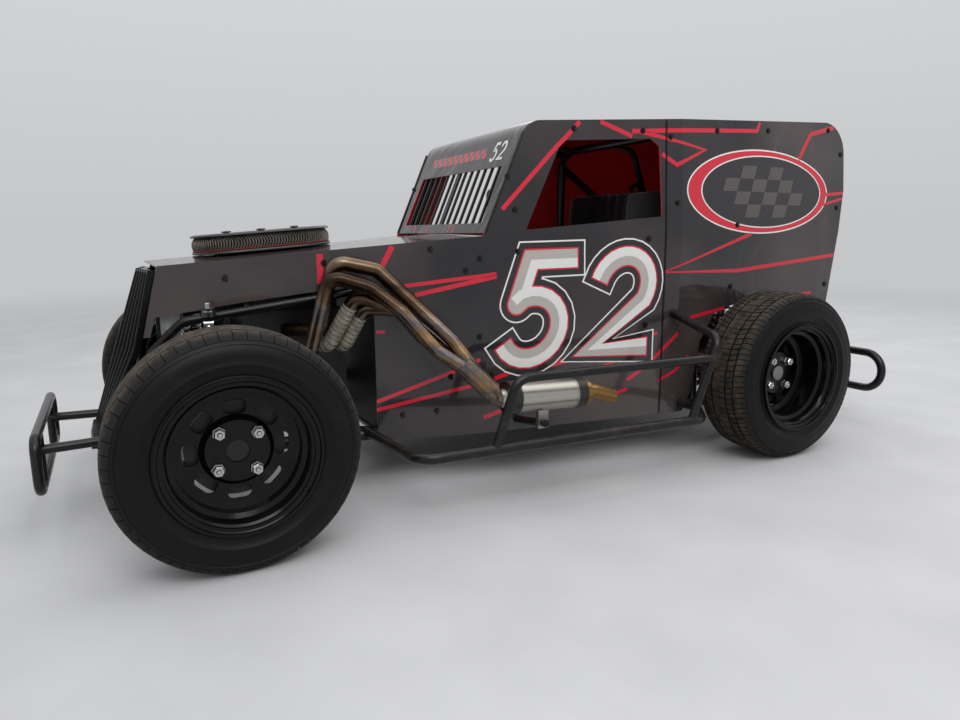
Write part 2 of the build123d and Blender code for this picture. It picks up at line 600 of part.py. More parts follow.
# Grille: upright ribs on a V prow. Rows of z, station on the prow, station at the side
GRILLE_HALF = 150
GRILLE_ROWS = [(692, -162, -137), (470, -236, -192), (205, -322, -318)]
RIB_COUNT = 11
RIB_W, RIB_DEPTH = 13, 20
RIB_ROUND = 5
RIB_BEND = 240


def grille_s(row, y):
    z, prow, side = row
    return prow + (side - prow) * abs(y) / GRILLE_HALF


ribs = []
for i in range(RIB_COUNT):
    y = (i / (RIB_COUNT - 1) * 2 - 1) * (GRILLE_HALF - RIB_W / 2)
    line = [Vector(at(grille_s(row, y) + RIB_DEPTH / 2), y, row[0]) for row in GRILLE_ROWS]
    path = FilletPolyline(*line, radius=RIB_BEND)
    across = Plane(origin=path @ 0, x_dir=(0, 1, 0), z_dir=path % 0)
    ribs.append(sweep(across * RectangleRounded(RIB_W, RIB_DEPTH, RIB_ROUND), path=path))
for (z, prow, side), t in ((GRILLE_ROWS[0], -12), (GRILLE_ROWS[2], 14)):
    vee = [(side, -GRILLE_HALF), (prow, 0), (side, GRILLE_HALF)]
    rear = [(s + RIB_DEPTH + 8, y) for s, y in reversed(vee)]
    ribs.append(slab(vee + rear, *sorted((z, z + t))))
save("grille", fuse(ribs))

# Firewall, floor and bulkhead
floor_rows = [(s, -rail_y(s) - 4) for s in (FIREWALL_S + 8, COWL_S, POST_S, HOOP_S - 10)]
FLOOR_Z = RAIL_Z + RAIL_R + GAP
floor = slab(floor_rows + [(s, -y) for s, y in reversed(floor_rows)], FLOOR_Z, FLOOR_Z + SHEET)
floor -= cage
save("floor_pan", floor)
fire_half = half(FIREWALL_S) - SHEET - GAP
firewall = block(FIREWALL_S + 2, FIREWALL_S + 2 + SHEET, -fire_half, fire_half, RAIL_Z + RAIL_R + GAP, 650)
firewall -= fuse(both(tube(nose_rows, NOSE_TUBE_R + GAP, 60))) + frame
firewall -= tube([COLUMN_FOOT, COLUMN_KNEE, COLUMN_HEAD], 11 + GAP + 4, 60)
firewall -= rod((FIREWALL_S - 20, DRIVE_Y, TYRE_R), (FIREWALL_S + 20, DRIVE_Y, TYRE_R), SHAFT_R + 8)
save("firewall", firewall)

# Engine, on two mounts between the rails
ENGINE_S0, ENGINE_S1 = 125, 425
CYLINDERS = 4
BORE_PITCH = (ENGINE_S1 - ENGINE_S0) / CYLINDERS
HEAD_Z, COVER_Z = 560, 600
crank = block(ENGINE_S0, ENGINE_S1, -120, 165, 250, 400)
sump = block(ENGINE_S0 + 50, ENGINE_S1 - 60, -90, 110, 205, 250)
head_block = block(ENGINE_S0 + 10, ENGINE_S1 - 10, -130, 60, 400, HEAD_Z)
cover = block(ENGINE_S0 + 20, ENGINE_S1 - 20, -110, 40, HEAD_Z, COVER_Z)
engine = crank + head_block + sump + cover
for s in (ENGINE_S0 + 20, ENGINE_S1 - 45):
    engine += block(s, s + 24, -210, 240, 262, 286)
for i in range(CYLINDERS):
    s = ENGINE_S0 + BORE_PITCH * (i + 0.5)
    engine += rod((s, -20, COVER_Z - 10), (s, 0, filter_z - 52 + hood_rise * (s - FILTER_S)), 22)
engine += oval(-40, -58, -46 - GAP)
save("engine", engine)

# Radiator behind the grille
radiator = block(-112, -68, -118, 118, 300, 600)
radiator += fuse(both(block(-116, -64, -132, -118, 296, 604)))
radiator += fuse(both(block(-102, -78, nose_y(-90), -130, 512, 526)))
radiator -= frame
save("radiator", radiator)

# Exhaust. Rows of station, y, z for each pipe's corners: two bare pipes that arch over the
# frame's nose tubes, and two wrapped ones that join behind them
PIPE_R = 21
WRAP_T = 3
WRAP_SHARE = 0.8              # how far up its rising leg a wrap reaches
bare_pipes = [
    [(163, -125, 470), (262, -292, 430), (322, -332, 672), (432, -368, 636), (512, -410, 566), (598, -458, 452),
     (705, -508, 372)],
    [(238, -125, 500), (306, -262, 508), (345, -300, 712), (466, -340, 684), (650, -455, 478), (700, -498, 392)],
]
wrapped_pipes = [
    [(312, -125, 470), (334, -240, 453), (404, -318, 612), (522, -345, 566), (672, -425, 420), (712, -500, 370)],
    [(388, -125, 475), (385, -235, 448), (432, -300, 572), (522, -345, 566)],
]
headers = [tube(rows, PIPE_R, 38) for rows in bare_pipes + wrapped_pipes]
headers.append(rod((668, -490, 408), (745, -532, 322), 30))
headers.append(tube([(730, -525, 340), (758, MUFFLER["y"], 306), (800, MUFFLER["y"], 303)], 26, 26))
headers = fuse(headers) - engine
save("headers", headers)
wraps = []
for port, foot, top in (rows[:3] for rows in wrapped_pipes):
    tear = tuple(a + (b - a) * WRAP_SHARE for a, b in zip(foot, top))
    wraps.append(tube([port, foot, tear], PIPE_R + WRAP_T, 38))
save("wrapped_headers", fuse(wraps) - headers - engine)

# Silencer: can, cone and a turned-down outlet, whose bore is a straight run
OUTLET_R, OUTLET_WALL = 22, 3
OUTLET_KNEE = (1110, 288)
OUTLET_END = (1187, 262)
OUTLET_BEND = 40
outlet_s, outlet_z = (b - a for a, b in zip(OUTLET_KNEE, OUTLET_END))
outlet_mid = [(1070, MUFFLER["y"], 290), (OUTLET_KNEE[0], MUFFLER["y"], OUTLET_KNEE[1])]
can = rod((MUFFLER["s0"], MUFFLER["y"], 304), (MUFFLER["s1"], MUFFLER["y"], 291), MUFFLER["r"])
can += rod((MUFFLER["s1"] - 8, MUFFLER["y"], 291), (MUFFLER["s1"] + 22, MUFFLER["y"], 290), 40)
for r, past, grow in ((OUTLET_R + OUTLET_WALL, 0, 1), (OUTLET_R, 0.1, -1)):
    end = (OUTLET_END[0] + outlet_s * past, MUFFLER["y"], OUTLET_END[1] + outlet_z * past)
    pipe = tube(outlet_mid + [end], r, OUTLET_BEND)
    can = can + pipe if grow > 0 else can - pipe
can -= headers
can += block(HANGER_S - 18, HANGER_S + 18, MUFFLER["y"] - 8, MUFFLER["y"] + 8, HANGER_Z - 18, 258)
can -= rod(*hanger, HANGER_R + GAP)
save("muffler", can)

# Bumpers
BUMPER_R = 13
bs = -FRONT_OVERHANG + BUMPER_R
loop = [(-300, 145), (-300, 284), (300, 284), (300, 145)]
path = FilletPolyline(*[Vector(at(bs), y, z) for y, z in loop], radius=38, close=True)
front_bumper = [sweep(Plane(origin=path @ 0, z_dir=path % 0) * Circle(BUMPER_R), path=path)]
for side in (-1, 1):
    front_bumper.append(rod((bs, side * 190, 145), (bs, side * 190, 284), BUMPER_R - 2))
    front_bumper.append(rod((bs, side * 190, 232), (-270, side * 172, 232), BUMPER_R))
    front_bumper.append(rod((-285, side * 174, 232), (FRAME_FRONT_S + 10, side * 170, RAIL_Z), BUMPER_R))
front_bumper = fuse(front_bumper) - frame
save("front_bumper", front_bumper)

REAR_BUMPER_R = 16
rs = WHEELBASE + REAR_OVERHANG - REAR_BUMPER_R
loop = [(-586, 137), (-586, 287), (586, 287), (586, 137)]
path = FilletPolyline(*[Vector(at(rs), y, z) for y, z in loop], radius=74, close=True)
rear_bumper = [sweep(Plane(origin=path @ 0, z_dir=path % 0) * Circle(REAR_BUMPER_R), path=path)]
for side in (-1, 1):
    y = side * 330
    rear_bumper.append(rod((rs, y, 137), (rs, y, 287), REAR_BUMPER_R - 2))
    rear_bumper.append(rod((rs, y, 212), (FRAME_REAR_S - 20, y, 212), REAR_BUMPER_R))
    rear_bumper.append(rod((FRAME_REAR_S - 20, y, 212), (FRAME_REAR_S - 30, y, RAIL_Z), REAR_BUMPER_R))
save("rear_bumper", fuse(rear_bumper) - frame)

# Rear axle, shaft, springs and links
PINION = 170
AXLE_R = 34
rear_axle = crosswise(WHEELBASE, TYRE_R, -548, 548, AXLE_R)
rear_axle += Pos(at(WHEELBASE), DRIVE_Y, TYRE_R) * Sphere(95)
rear_axle += rod((WHEELBASE - PINION, DRIVE_Y, TYRE_R), (WHEELBASE, DRIVE_Y, TYRE_R), 42)
for side in (-1, 1):
    rear_axle -= crosswise(WHEELBASE, TYRE_R, *sorted((side * 450, side * 560)), SPINDLE_R + GAP)
save("rear_axle", rear_axle)
save("driveshaft", rod((ENGINE_S1, DRIVE_Y, TYRE_R), (WHEELBASE - PINION, DRIVE_Y, TYRE_R), SHAFT_R))

COILS = 8
EYE_ROD, SEAT_R, COIL_R = 12, 34, 28


def strut(foot, top):
    """A coil-over damper between two points: eye, spring seats, coils as ribs, and rod."""
    a, b = (Vector(at(s), y, z) for s, y, z in (foot, top))
    long = (b - a).length
    low, high = 36, long - 46
    pitch = (high - low - 14) / COILS
    # distance up the strut, radius
    rows = [(0, 0), (0, EYE_ROD), (low, EYE_ROD), (low, SEAT_R)]
    for i in range(COILS):
        rows += [(low + 6 + pitch * i, SEAT_R), (low + 6 + pitch * (i + 0.5), COIL_R)]
    rows += [(high, SEAT_R), (high, EYE_ROD), (long, EYE_ROD), (long, 0)]
    face = make_face(Polyline(*[(r, 0, d) for d, r in rows], close=True))
    return Plane(origin=a, z_dir=b - a) * revolve(face, axis=Axis.Z)


front_strut = strut((0, -SPRING_Y, SPRING_FOOT_Z + GAP), (0, nose_y(0) - STRUT_OUT, nose_z(0)))
rear_strut = strut((WHEELBASE, -SPRING_Y, TYRE_R + AXLE_R + GAP), (SHOCK_S, -SPRING_Y + 20, SHOCK_Z))
springs = [piece for side in (front_strut, rear_strut) for piece in both(side)]
springs = [piece - frame - stays - axle - rear_axle for piece in springs]
save("coilovers", Compound(springs))

# Locating links: front ones back to the cross tube, rear ones forward to the hoop's cross tube
links = [rod((0, -300, TYRE_R - 20), (CROSS_S[1], -225, RAIL_Z), 9),
         rod((WHEELBASE, -370, TYRE_R - 20), (CROSS_S[3], -370, RAIL_Z), 9)]
links = [piece for rail in links for piece in both(rail)]
save("links", Compound([piece - axle - rear_axle - frame for piece in links]))

# Seat, left of the shaft: a flat base, a leaning back and side wings in one outline
SEAT_HALF = 190
SEAT_Y = DRIVE_Y - SHAFT_R - 6 - SEAT_HALF
SEAT_S = POST_S - 337         # front of the base
SEAT_BACK = SEAT_S + 310      # foot of the back
SEAT_TOP_Z = 940
BASE_Z = (216, 244)
BOLSTER = 28
y0, y1 = SEAT_Y - SEAT_HALF, SEAT_Y + SEAT_HALF
seat = prism([(SEAT_S, BASE_Z[0]), (SEAT_S, BASE_Z[1]), (SEAT_BACK - 10, BASE_Z[1]), (SEAT_BACK - 10, BASE_Z[0])],
             y0, y1)
back = [(SEAT_BACK, 210), (SEAT_BACK + 100, SEAT_TOP_Z), (SEAT_BACK + 62, SEAT_TOP_Z)]
seat += prism([(SEAT_BACK - 30, 210)] + back, y0, y1)
# station from the base's front, z, of the wings' edge
wing = [(0, 222), (10, 330), (240, 400), (280, 520), (250, 610), (266, 700), (240, 790), (250, 925)]
for side in (-1, 1):
    y0, y1 = sorted((SEAT_Y + side * (SEAT_HALF - BOLSTER), SEAT_Y + side * SEAT_HALF))
    seat += prism([(SEAT_S + s, z) for s, z in wing] + back[::-1], y0, y1)
for s in (SEAT_S + 25, SEAT_S + 265):
    seat += block(s, s + 30, SEAT_Y - 150, SEAT_Y + 150, FLOOR_Z + SHEET, BASE_Z[0] + 4)
save("seat", seat)

# Instrument panel on the cage's cowl bar
dash = block(846 + CAGE_R - 2 + GAP, 846 + CAGE_R - 2 + GAP + SHEET, -330, 330, 640, 765)
dash -= tube([COLUMN_FOOT, COLUMN_KNEE, COLUMN_HEAD], 11 + 6, 60)
save("dash", dash)

# Fuel cell on the two rear cross tubes
cell = block(CROSS_S[4] - 16, CROSS_S[5] - 20, -190, 190, RAIL_Z + RAIL_R - 3 + GAP, 430)
save("fuel_cell", cell)
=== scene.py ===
import math

import bmesh
import bpy
from mathutils import Matrix, Quaternion, Vector


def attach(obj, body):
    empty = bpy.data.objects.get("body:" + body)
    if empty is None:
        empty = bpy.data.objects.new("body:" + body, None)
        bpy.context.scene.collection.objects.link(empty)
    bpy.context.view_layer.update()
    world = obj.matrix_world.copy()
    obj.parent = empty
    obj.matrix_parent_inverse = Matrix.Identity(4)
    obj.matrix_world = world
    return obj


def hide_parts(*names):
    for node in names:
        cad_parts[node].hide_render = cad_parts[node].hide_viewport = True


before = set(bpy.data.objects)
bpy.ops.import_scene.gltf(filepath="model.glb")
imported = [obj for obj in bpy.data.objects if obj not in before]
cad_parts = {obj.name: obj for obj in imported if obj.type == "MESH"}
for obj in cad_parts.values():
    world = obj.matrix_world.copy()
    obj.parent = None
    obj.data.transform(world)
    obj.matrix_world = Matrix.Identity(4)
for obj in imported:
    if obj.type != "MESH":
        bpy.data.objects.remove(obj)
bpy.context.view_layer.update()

# The camera stands low beside the left front wheel, as the photographer did.
# Its place and lens were worked out from the circles of the wheels.
PHOTO_LENS, PHOTO_SENSOR = 25.93, 36.0
PHOTO_PLACE = Vector((-1.2845, -2.289, 0.791))
PHOTO_YAW, PHOTO_PITCH, PHOTO_ROLL = (math.radians(a) for a in (27.83, 10.43, 0.35))


def stand(name, data):
    """A new object in the scene."""
    made = bpy.data.objects.new(name, data)
    bpy.context.scene.collection.objects.link(made)
    return made


camera = stand("camera", bpy.data.cameras.new("camera"))
camera.data.lens, camera.data.sensor_width = PHOTO_LENS, PHOTO_SENSOR
camera.matrix_world = (
    Matrix.Translation(PHOTO_PLACE) @ Matrix.Rotation(-PHOTO_YAW, 4, "Z")
    @ Matrix.Rotation(math.pi / 2 - PHOTO_PITCH, 4, "X") @ Matrix.Rotation(-PHOTO_ROLL, 4, "Z"))
bpy.context.scene.camera = camera

# A pale floor lies under a sky that brightens upwards, with three large soft lamps.
# The floor keeps the car's shadow.
bpy.context.scene.view_settings.view_transform = "Standard"
FLOOR_HALF = 30
floor_mesh = bpy.data.meshes.new("studio_floor")
floor_mesh.from_pydata([(x * FLOOR_HALF, y * FLOOR_HALF, 0) for x, y in ((-1, -1), (1, -1), (1, 1), (-1, 1))],
                       [], [(0, 1, 2, 3)])
studio_floor = stand("studio_floor", floor_mesh)


def put(tree, kind, inputs=(), **settings):
    """A node with its settings, and its inputs set to values or linked to sockets."""
    made = tree.nodes.new(kind)
    for key, value in settings.items():
        setattr(made, key, value)
    for key, value in dict(inputs).items():
        if isinstance(value, bpy.types.NodeSocket):
            tree.links.new(value, made.inputs[key])
        else:
            made.inputs[key].default_value = value
    return made


def mapped(tree, value, low, high, to_low=0.0, to_high=1.0, **settings):
    """A value's way from low to high, as a value between two others."""
    return put(tree, "ShaderNodeMapRange", {
        "Value": value, "From Min": low, "From Max": high, "To Min": to_low, "To Max": to_high},
        **settings).outputs["Result"]


world = bpy.data.worlds.new("studio")
bpy.context.scene.world = world
world.use_nodes = True
sky = world.node_tree
SKY_COLOUR = (0.96, 0.975, 1.0, 1)
SKY_LOW, SKY_HIGH, SKY_FULL = 0.58, 0.8, 0.7
sky_place = put(sky, "ShaderNodeSeparateXYZ", {0: put(sky, "ShaderNodeTexCoord").outputs["Generated"]})
sky_light = mapped(sky, sky_place.outputs["Z"], 0, SKY_FULL, SKY_LOW, SKY_HIGH)
sky.links.new(sky_light, sky.nodes["Background"].inputs["Strength"])
sky.nodes["Background"].inputs["Color"].default_value = SKY_COLOUR

# name: place, aim, width, depth, watts
LAMPS = {"overhead": ((0.4, -0.6, 4.4), (0, 0, 0.4), 8.0, 6.0, 150),
         "near_side": ((-1.4, -5.0, 5.2), (0.2, 0, 0.6), 5.0, 3.0, 170),
         "behind": ((4.6, 3.4, 4.4), (0.2, 0, 0.6), 6.0, 5.0, 100)}
for lamp, (place, aim, wide, deep, watts) in LAMPS.items():
    light = bpy.data.lights.new(lamp, "AREA")
    light.shape, light.size, light.size_y, light.energy = "RECTANGLE", wide, deep, watts
    way = (Vector(aim) - Vector(place)).to_track_quat("-Z", "Y")
    stand(lamp, light).matrix_world = Matrix.Translation(place) @ way.to_matrix().to_4x4()

# The frame is welded from round steel tube and powder coated satin black. The coat is
# rubbed grey where hands, boots and other cars touch it, and dusty low down.


def rgba(colour):
    """A hex code, or three linear values, as linear values with alpha."""
    if isinstance(colour, str):
        parts = [int(colour[i:i + 2], 16) / 255 for i in (0, 2, 4)]
        colour = [v / 12.92 if v <= 0.04045 else ((v + 0.055) / 1.055) ** 2.4 for v in parts]
    return (*colour, 1)


def effect(name, inputs, outputs):
    """An empty shader node group with named values in, and named sockets of a kind out."""
    tree = bpy.data.node_groups.new(name, "ShaderNodeTree")
    for label, value in inputs.items():
        tree.interface.new_socket(label, in_out="INPUT", socket_type="NodeSocketFloat").default_value = value
    for label, kind in outputs.items():
        tree.interface.new_socket(label, in_out="OUTPUT", socket_type="NodeSocket" + kind)
    entry, leave = tree.nodes.new("NodeGroupInput"), tree.nodes.new("NodeGroupOutput")
    return tree, entry.outputs, leave.inputs


def object_place(tree):
    return put(tree, "ShaderNodeTexCoord").outputs["Object"]


def noise(tree, scale, detail, vector=None, **more):
    """Noise on object coordinates, or on others."""
    return put(tree, "ShaderNodeTexNoise", {
        "Vector": vector or object_place(tree), "Scale": scale, "Detail": detail, **more}).outputs["Fac"]


def spotted(tree, scale, low=0.3, high=0.7, detail=3, vector=None):
    """Noise cut between two levels to a mask."""
    return mapped(tree, noise(tree, scale, detail, vector), low, high)


def maths(tree, operation, *values, **settings):
    """The result of a sum on values and sockets."""
    return put(tree, "ShaderNodeMath", dict(enumerate(values)), operation=operation, **settings).outputs[0]


RUB_EDGE = 0.22
rub, rub_in, rub_out = effect("rub_and_grain", {"Scale": 9, "Share": 0.5, "Grain": 900},
                              {"Rubbed": "Float", "Height": "Float"})
rub_level = maths(rub, "SUBTRACT", 1.0, rub_in["Share"])
rub_noise = noise(rub, rub_in["Scale"], 6, Roughness=0.7)
rub.links.new(mapped(rub, rub_noise, rub_level, maths(rub, "ADD", rub_level, RUB_EDGE)), rub_out["Rubbed"])
rub_fine = put(rub, "ShaderNodeVectorMath", {0: object_place(rub), "Scale": rub_in["Grain"]},
               operation="SCALE")
rub.links.new(spotted(rub, 1, detail=2, vector=rub_fine.outputs[0]), rub_out["Height"])

dust, dust_in, dust_out = effect("road_dust", {"Top": 0.6, "Amount": 0.5, "Scale": 14}, {"Dust": "Float"})
dust_place = put(dust, "ShaderNodeSeparateXYZ", {0: object_place(dust)})
dust_facing = put(dust, "ShaderNodeSeparateXYZ", {0: put(dust, "ShaderNodeNewGeometry").outputs["Normal"]})
dust_low = mapped(dust, dust_place.outputs["Z"], dust_in["Top"], 0.0)
dust_up = mapped(dust, dust_facing.outputs["Z"], 0.2, 1.0, 0.0, 0.5)
dust_cut = mapped(dust, noise(dust, dust_in["Scale"], 8, Roughness=0.75), 0.35, 0.75)
dust_mix = maths(dust, "MULTIPLY", maths(dust, "ADD", dust_low, dust_up), dust_cut)
dust.links.new(maths(dust, "MULTIPLY", dust_mix, dust_in["Amount"], use_clamp=True), dust_out["Dust"])


def finish(name, colour, rough, **plain):
    """A Principled material. Plain values sit on the shader's own sockets."""
    made = bpy.data.materials.new(name)
    made.use_nodes = True
    for key, value in {"Base_Color": rgba(colour), "Roughness": rough, **plain}.items():
        made.node_tree.nodes["Principled BSDF"].inputs[key.replace("_", " ")].default_value = value
    return made


def group(material, tree, **values):
    """An effect's group placed in a material, with its own values."""
    return put(material.node_tree, "ShaderNodeGroup", values, node_tree=tree).outputs


def feed(material, key, socket):
    shader = material.node_tree.nodes["Principled BSDF"]
    material.node_tree.links.new(socket, shader.inputs[key])


def tint(material, mask, under, over):
    """A colour that turns from under to over with a mask. Each is a colour or a socket."""
    pair = {key: value if isinstance(value, bpy.types.NodeSocket) else rgba(value)
            for key, value in ((6, under), (7, over))}
    return put(material.node_tree, "ShaderNodeMix", {"Factor": mask, **pair}, data_type="RGBA").outputs[2]


def bump(material, height, strength, distance):
    feed(material, "Normal", put(material.node_tree, "ShaderNodeBump", {
        "Height": height, "Strength": strength, "Distance": distance}).outputs["Normal"])


DUST_COLOUR = "6e655a"


def coated(name, colour, worn, rough, share=0.42, dusty=0.16, top=0.5, scale=9, grain=900, **plain):
    """A painted or plated finish with rubbed places, a fine grain and road dust."""
    made = finish(name, colour, rough, **plain)
    rubbed = group(made, rub, Scale=scale, Share=share, Grain=grain)
    dusted = group(made, dust, Top=top, Amount=dusty)["Dust"]
    feed(made, "Base Color", tint(made, dusted, tint(made, rubbed["Rubbed"], colour, worn), DUST_COLOUR))
    feed(made, "Roughness", mapped(made.node_tree, rubbed["Rubbed"], 0, 1, rough, min(1, rough + 0.18)))
    bump(made, rubbed["Height"], 0.12, 0.0002)
    return made


def dress(names, *materials):
    """Gives CAD nodes their materials."""
    for name in names:
        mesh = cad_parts[name].data
        mesh.materials.clear()
        for material in materials:
            mesh.materials.append(material)


def both(*names):
    """The names of nodes that come as left and right."""
    return [f"{name}_{label}" for name in names for label in ("left", "right")]


tube_black = coated("tube_black", "0b0b0c", "2a2928", 0.26, Specular_IOR_Level=0.3)
dress(["frame", "front_axle", "links", "front_bumper", "rear_bumper", *both("guard_bar")], tube_black)
dress(["roll_cage", "cage_stays"], coated("cage_black", "0b0b0c", "262523", 0.3, share=0.3, dusty=0.15))
dress(["floor_pan", "dash", "fuel_cell", "windshield_bars"],
      coated("sheet_black", "0e0e0f", "242321", 0.42, dusty=0.2))
dress(["grille"], coated("grille_black", "0a0a0b", "1d1b18", 0.22, share=0.35, dusty=0.05,
                         Specular_IOR_Level=0.2))

# Turned and forged steel parts of the steering and the drive are left bare and oiled. The hubs,
# the bulkhead and the rims are black, the engine is near-black as painted shade of the closed
# engine bay, and the radiator is bare alloy.
HUB_END = 0.632


def paint(mesh, second):
    """Gives the faces of a mesh its second material where a test says so, and else the first."""
    for face in mesh.polygons:
        face.material_index = int(second(face))


steel = coated("machined_steel", "8d8c8a", "4d4640", 0.36, Metallic=0.9)
dress(["tie_rod", "drag_link", "pitman_arm", "steering_column", "driveshaft", "rear_axle", *both("knuckle")],
      steel)
hub_iron = coated("hub_iron", "1d1c1c", "38342f", 0.5, share=0.5, Metallic=0.5)
dress(both("hub_front"), hub_iron)
dress(both("hub_rear"), hub_iron, steel)
for name in both("hub_rear"):
    paint(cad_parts[name].data, lambda face: abs(face.center.y) > HUB_END)
alloy = coated("cast_alloy", "9a9b9c", "565350", 0.45, Metallic=0.85)
dress(["radiator"], alloy)
# The engine's near-black colour is painted shade, standing for the dark inside the closed engine bay.
dress(["engine"], coated("engine_black", "161617", "35332f", 0.5, share=0.5))
dress(["firewall"], coated("bulkhead_black", "0a090a", "1a1816", 0.5, Specular_IOR_Level=0.2))
dress(both("wheel_front", "wheel_rear"),
      coated("rim_black", "060607", "0b0b0c", 0.1, share=0.2, dusty=0.03, Specular_IOR_Level=0.2))

# The springs and their dampers stand between the axles and the frame: a polished body and
# rod with an eye at each end, and an open coil of black wire between two cups.
STATION = -1.0595


def at(s):
    """Metres along the car for a station in millimetres behind the front axle."""
    return STATION + s / 1000


def spot(s, y, z):
    return Vector((at(s), y / 1000, z / 1000))


def carried(path):
    """The sideways and upward directions of a bar's section at each point of its path."""
    side = None
    for i, point in enumerate(path):
        tangent = (path[min(i + 1, len(path) - 1)] - path[max(i - 1, 0)]).normalized()
        side = tangent.orthogonal() if side is None else side
        side = (side - tangent * side.dot(tangent)).normalized()
        yield point, side, tangent.cross(side)


def skin(bm, rings, loop=False, finish=0):
    """Joins rings of points to a closed skin."""
    made = [[bm.verts.new(p) for p in ring] for ring in rings]
    pairs = list(zip(made, made[1:])) + ([(made[-1], made[0])] if loop else [])
    for here, there in pairs:
        for k, corner in enumerate(here):
            j = (k + 1) % len(here)
            bm.faces.new((corner, here[j], there[j], there[k])).material_index = finish
    if not loop:
        for end in (made[0][::-1], made[-1]):
            bm.faces.new(end).material_index = finish


def circle(point, side, up, r, around):
    return [point + r * (math.cos(a) * side + math.sin(a) * up)
            for a in (2 * math.pi * k / around for k in range(around))]


def bar(bm, path, radius, around=12, finish=0):
    """A round bar along a path, in metres."""
    skin(bm, [circle(p, side, up, radius, around) for p, side, up in carried(path)], finish=finish)


def spindle(bm, foot, top, rows, around=24, finish=0):
    """Turns rows of distance and radius, in millimetres, about the line from foot to top."""
    axis = (top - foot).normalized()
    side = axis.orthogonal().normalized()
    skin(bm, [circle(foot + axis * d / 1000, side, axis.cross(side), r / 1000, around) for d, r in rows],
         finish=finish)


def built(name, bm, *materials):
    """A mesh as an object at the origin."""
    mesh = bpy.data.meshes.new(name)
    bm.to_mesh(mesh)
    bm.free()
    for material in materials:
        mesh.materials.append(material)
    return stand(name, mesh)


def smooth(mesh, sharp):
    mesh.polygons.foreach_set("use_smooth", [True] * len(mesh.polygons))
    mesh.set_sharp_from_angle(angle=math.radians(sharp))


def piece(name, bm, body, *materials, sharp=32):
    """A smooth closed object that rides on a body."""
    bmesh.ops.recalc_face_normals(bm, faces=bm.faces)
    made = built(name, bm, *materials)
    smooth(made.data, sharp)
    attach(made, body)
    return made


COIL_R, WIRE_R, COIL_TURNS, COIL_STEPS, CUP_T = 29, 4.6, 8, 14, 6
damper_silver = coated("damper_silver", "b4b4b2", "7b7873", 0.25, share=0.3, dusty=0.3, Metallic=0.9)
spring_black = coated("spring_black", "141415", "2c2a28", 0.3, dusty=0.3, Coat_Weight=0.5)
# foot and top of a front and a rear unit
STRUTS = [((0, -340, 324.5), (0, -237, 557)), ((1854, -340, 324.5), (1924, -320, 640))]
springs = bmesh.new()
for foot, top in STRUTS:
    for mirrored in (1, -1):
        a, b = (spot(s, y * mirrored, z) for s, y, z in (foot, top))
        long = (b - a).length * 1000
        half = long * 0.55
        spindle(springs, a, b, [(2, 8), (20, 8), (20, 17), (half, 17), (half, 8), (long - 14, 8)])
        for cup in (36, long - 52):
            spindle(springs, a, b, [(cup, 20), (cup, 33), (cup + CUP_T, 33), (cup + CUP_T, 20)], finish=1)
        axis = (b - a).normalized()
        for near in (10, long - 12):
            eye = a + axis * near / 1000
            spindle(springs, eye - Vector((0.013, 0, 0)), eye + Vector((0.013, 0, 0)), [(0, 11), (26, 11)])
        side = axis.orthogonal().normalized()
        steps = COIL_TURNS * COIL_STEPS
        coil = []
        for i in range(steps + 1):
            angle = 2 * math.pi * i / COIL_STEPS
            coil.append(a + axis * (43 + (long - 96) * i / steps) / 1000
                        + COIL_R / 1000 * (math.cos(angle) * side + math.sin(angle) * axis.cross(side)))
        bar(springs, coil, WIRE_R / 1000, 8, finish=1)
# On the front units' upper eyes stands a rubber bush in a cup, under a bright bolt
for side in (-1, 1):
    foot, up = spot(2, side * 237, 565.3), Vector((0, 0, 0.04))
    spindle(springs, foot, foot + up, [(0, 20), (14, 20), (14, 16), (17, 16), (17, 19), (24, 19), (26, 12)],
            finish=1)
    spindle(springs, foot, foot + up, [(14, 16.6), (17, 16.6)])
    spindle(springs, foot, foot + up, [(25, 11.5), (27, 11.5), (27, 10), (37, 10), (38.5, 8)], 6)
coilover_set = piece("coilover_set", springs, "chassis", damper_silver, spring_black)
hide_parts("coilovers")

# The air filter sits on the hood: an oval of pleated black gauze between a moulded base and
# a pressed lid, which three knobs hold down. A red seal runs round the base.
FILTER_STATION, FILTER_RISE, FILTER_Z = 208, 0.07762, 742.35
FILTER_RADIUS, FILTER_STRAIGHT = 120, 92
PLEATS, PLEAT_WAVE = 132, 1.3
filter_along = Vector((1, 0, FILTER_RISE)).normalized()
filter_up = Vector((-FILTER_RISE, 0, 1)).normalized()
filter_middle = spot(FILTER_STATION, 0, FILTER_Z)


def oval_point(share, grow):
    """A point of the oval outline, by share of its way round, grown by so many millimetres."""
    r = FILTER_RADIUS
    whole = 4 * FILTER_STRAIGHT + 2 * math.pi * r
    way = share % 1 * whole
    for sign in (1, -1):
        if way < 2 * FILTER_STRAIGHT:
            return sign * (FILTER_STRAIGHT - way), sign * (r + grow)
        way -= 2 * FILTER_STRAIGHT
        if way < math.pi * r:
            a = math.pi / 2 + way / r
            return sign * (-FILTER_STRAIGHT + (r + grow) * math.cos(a)), sign * (r + grow) * math.sin(a)
        way -= math.pi * r
    return FILTER_STRAIGHT, r + grow


def oval_ring(z, grow, count=96, slide=0):
    return [filter_middle + (filter_along * u + Vector((0, 1, 0)) * v + filter_up * z) / 1000
            for u, v in (oval_point((k + slide) / count, grow[k % len(grow)]) for k in range(count))]


pleated = bmesh.new()
pleat_rings = []
for level, bulge in ((9, -8), (16, -4), (26, -1.5), (38, -3), (48, -9), (53, -14)):
    wave = PLEAT_WAVE * math.sin((level - 9) / 44 * math.pi)
    pleat_rings.append(oval_ring(level, (bulge, bulge - 2, bulge - 15, bulge - 2), PLEATS * 4, wave * 4))
skin(pleated, pleat_rings)
for i, face in enumerate(pleated.faces):
    face.material_index = int(len(face.verts) == 4 and i % 4 in (0, 3))
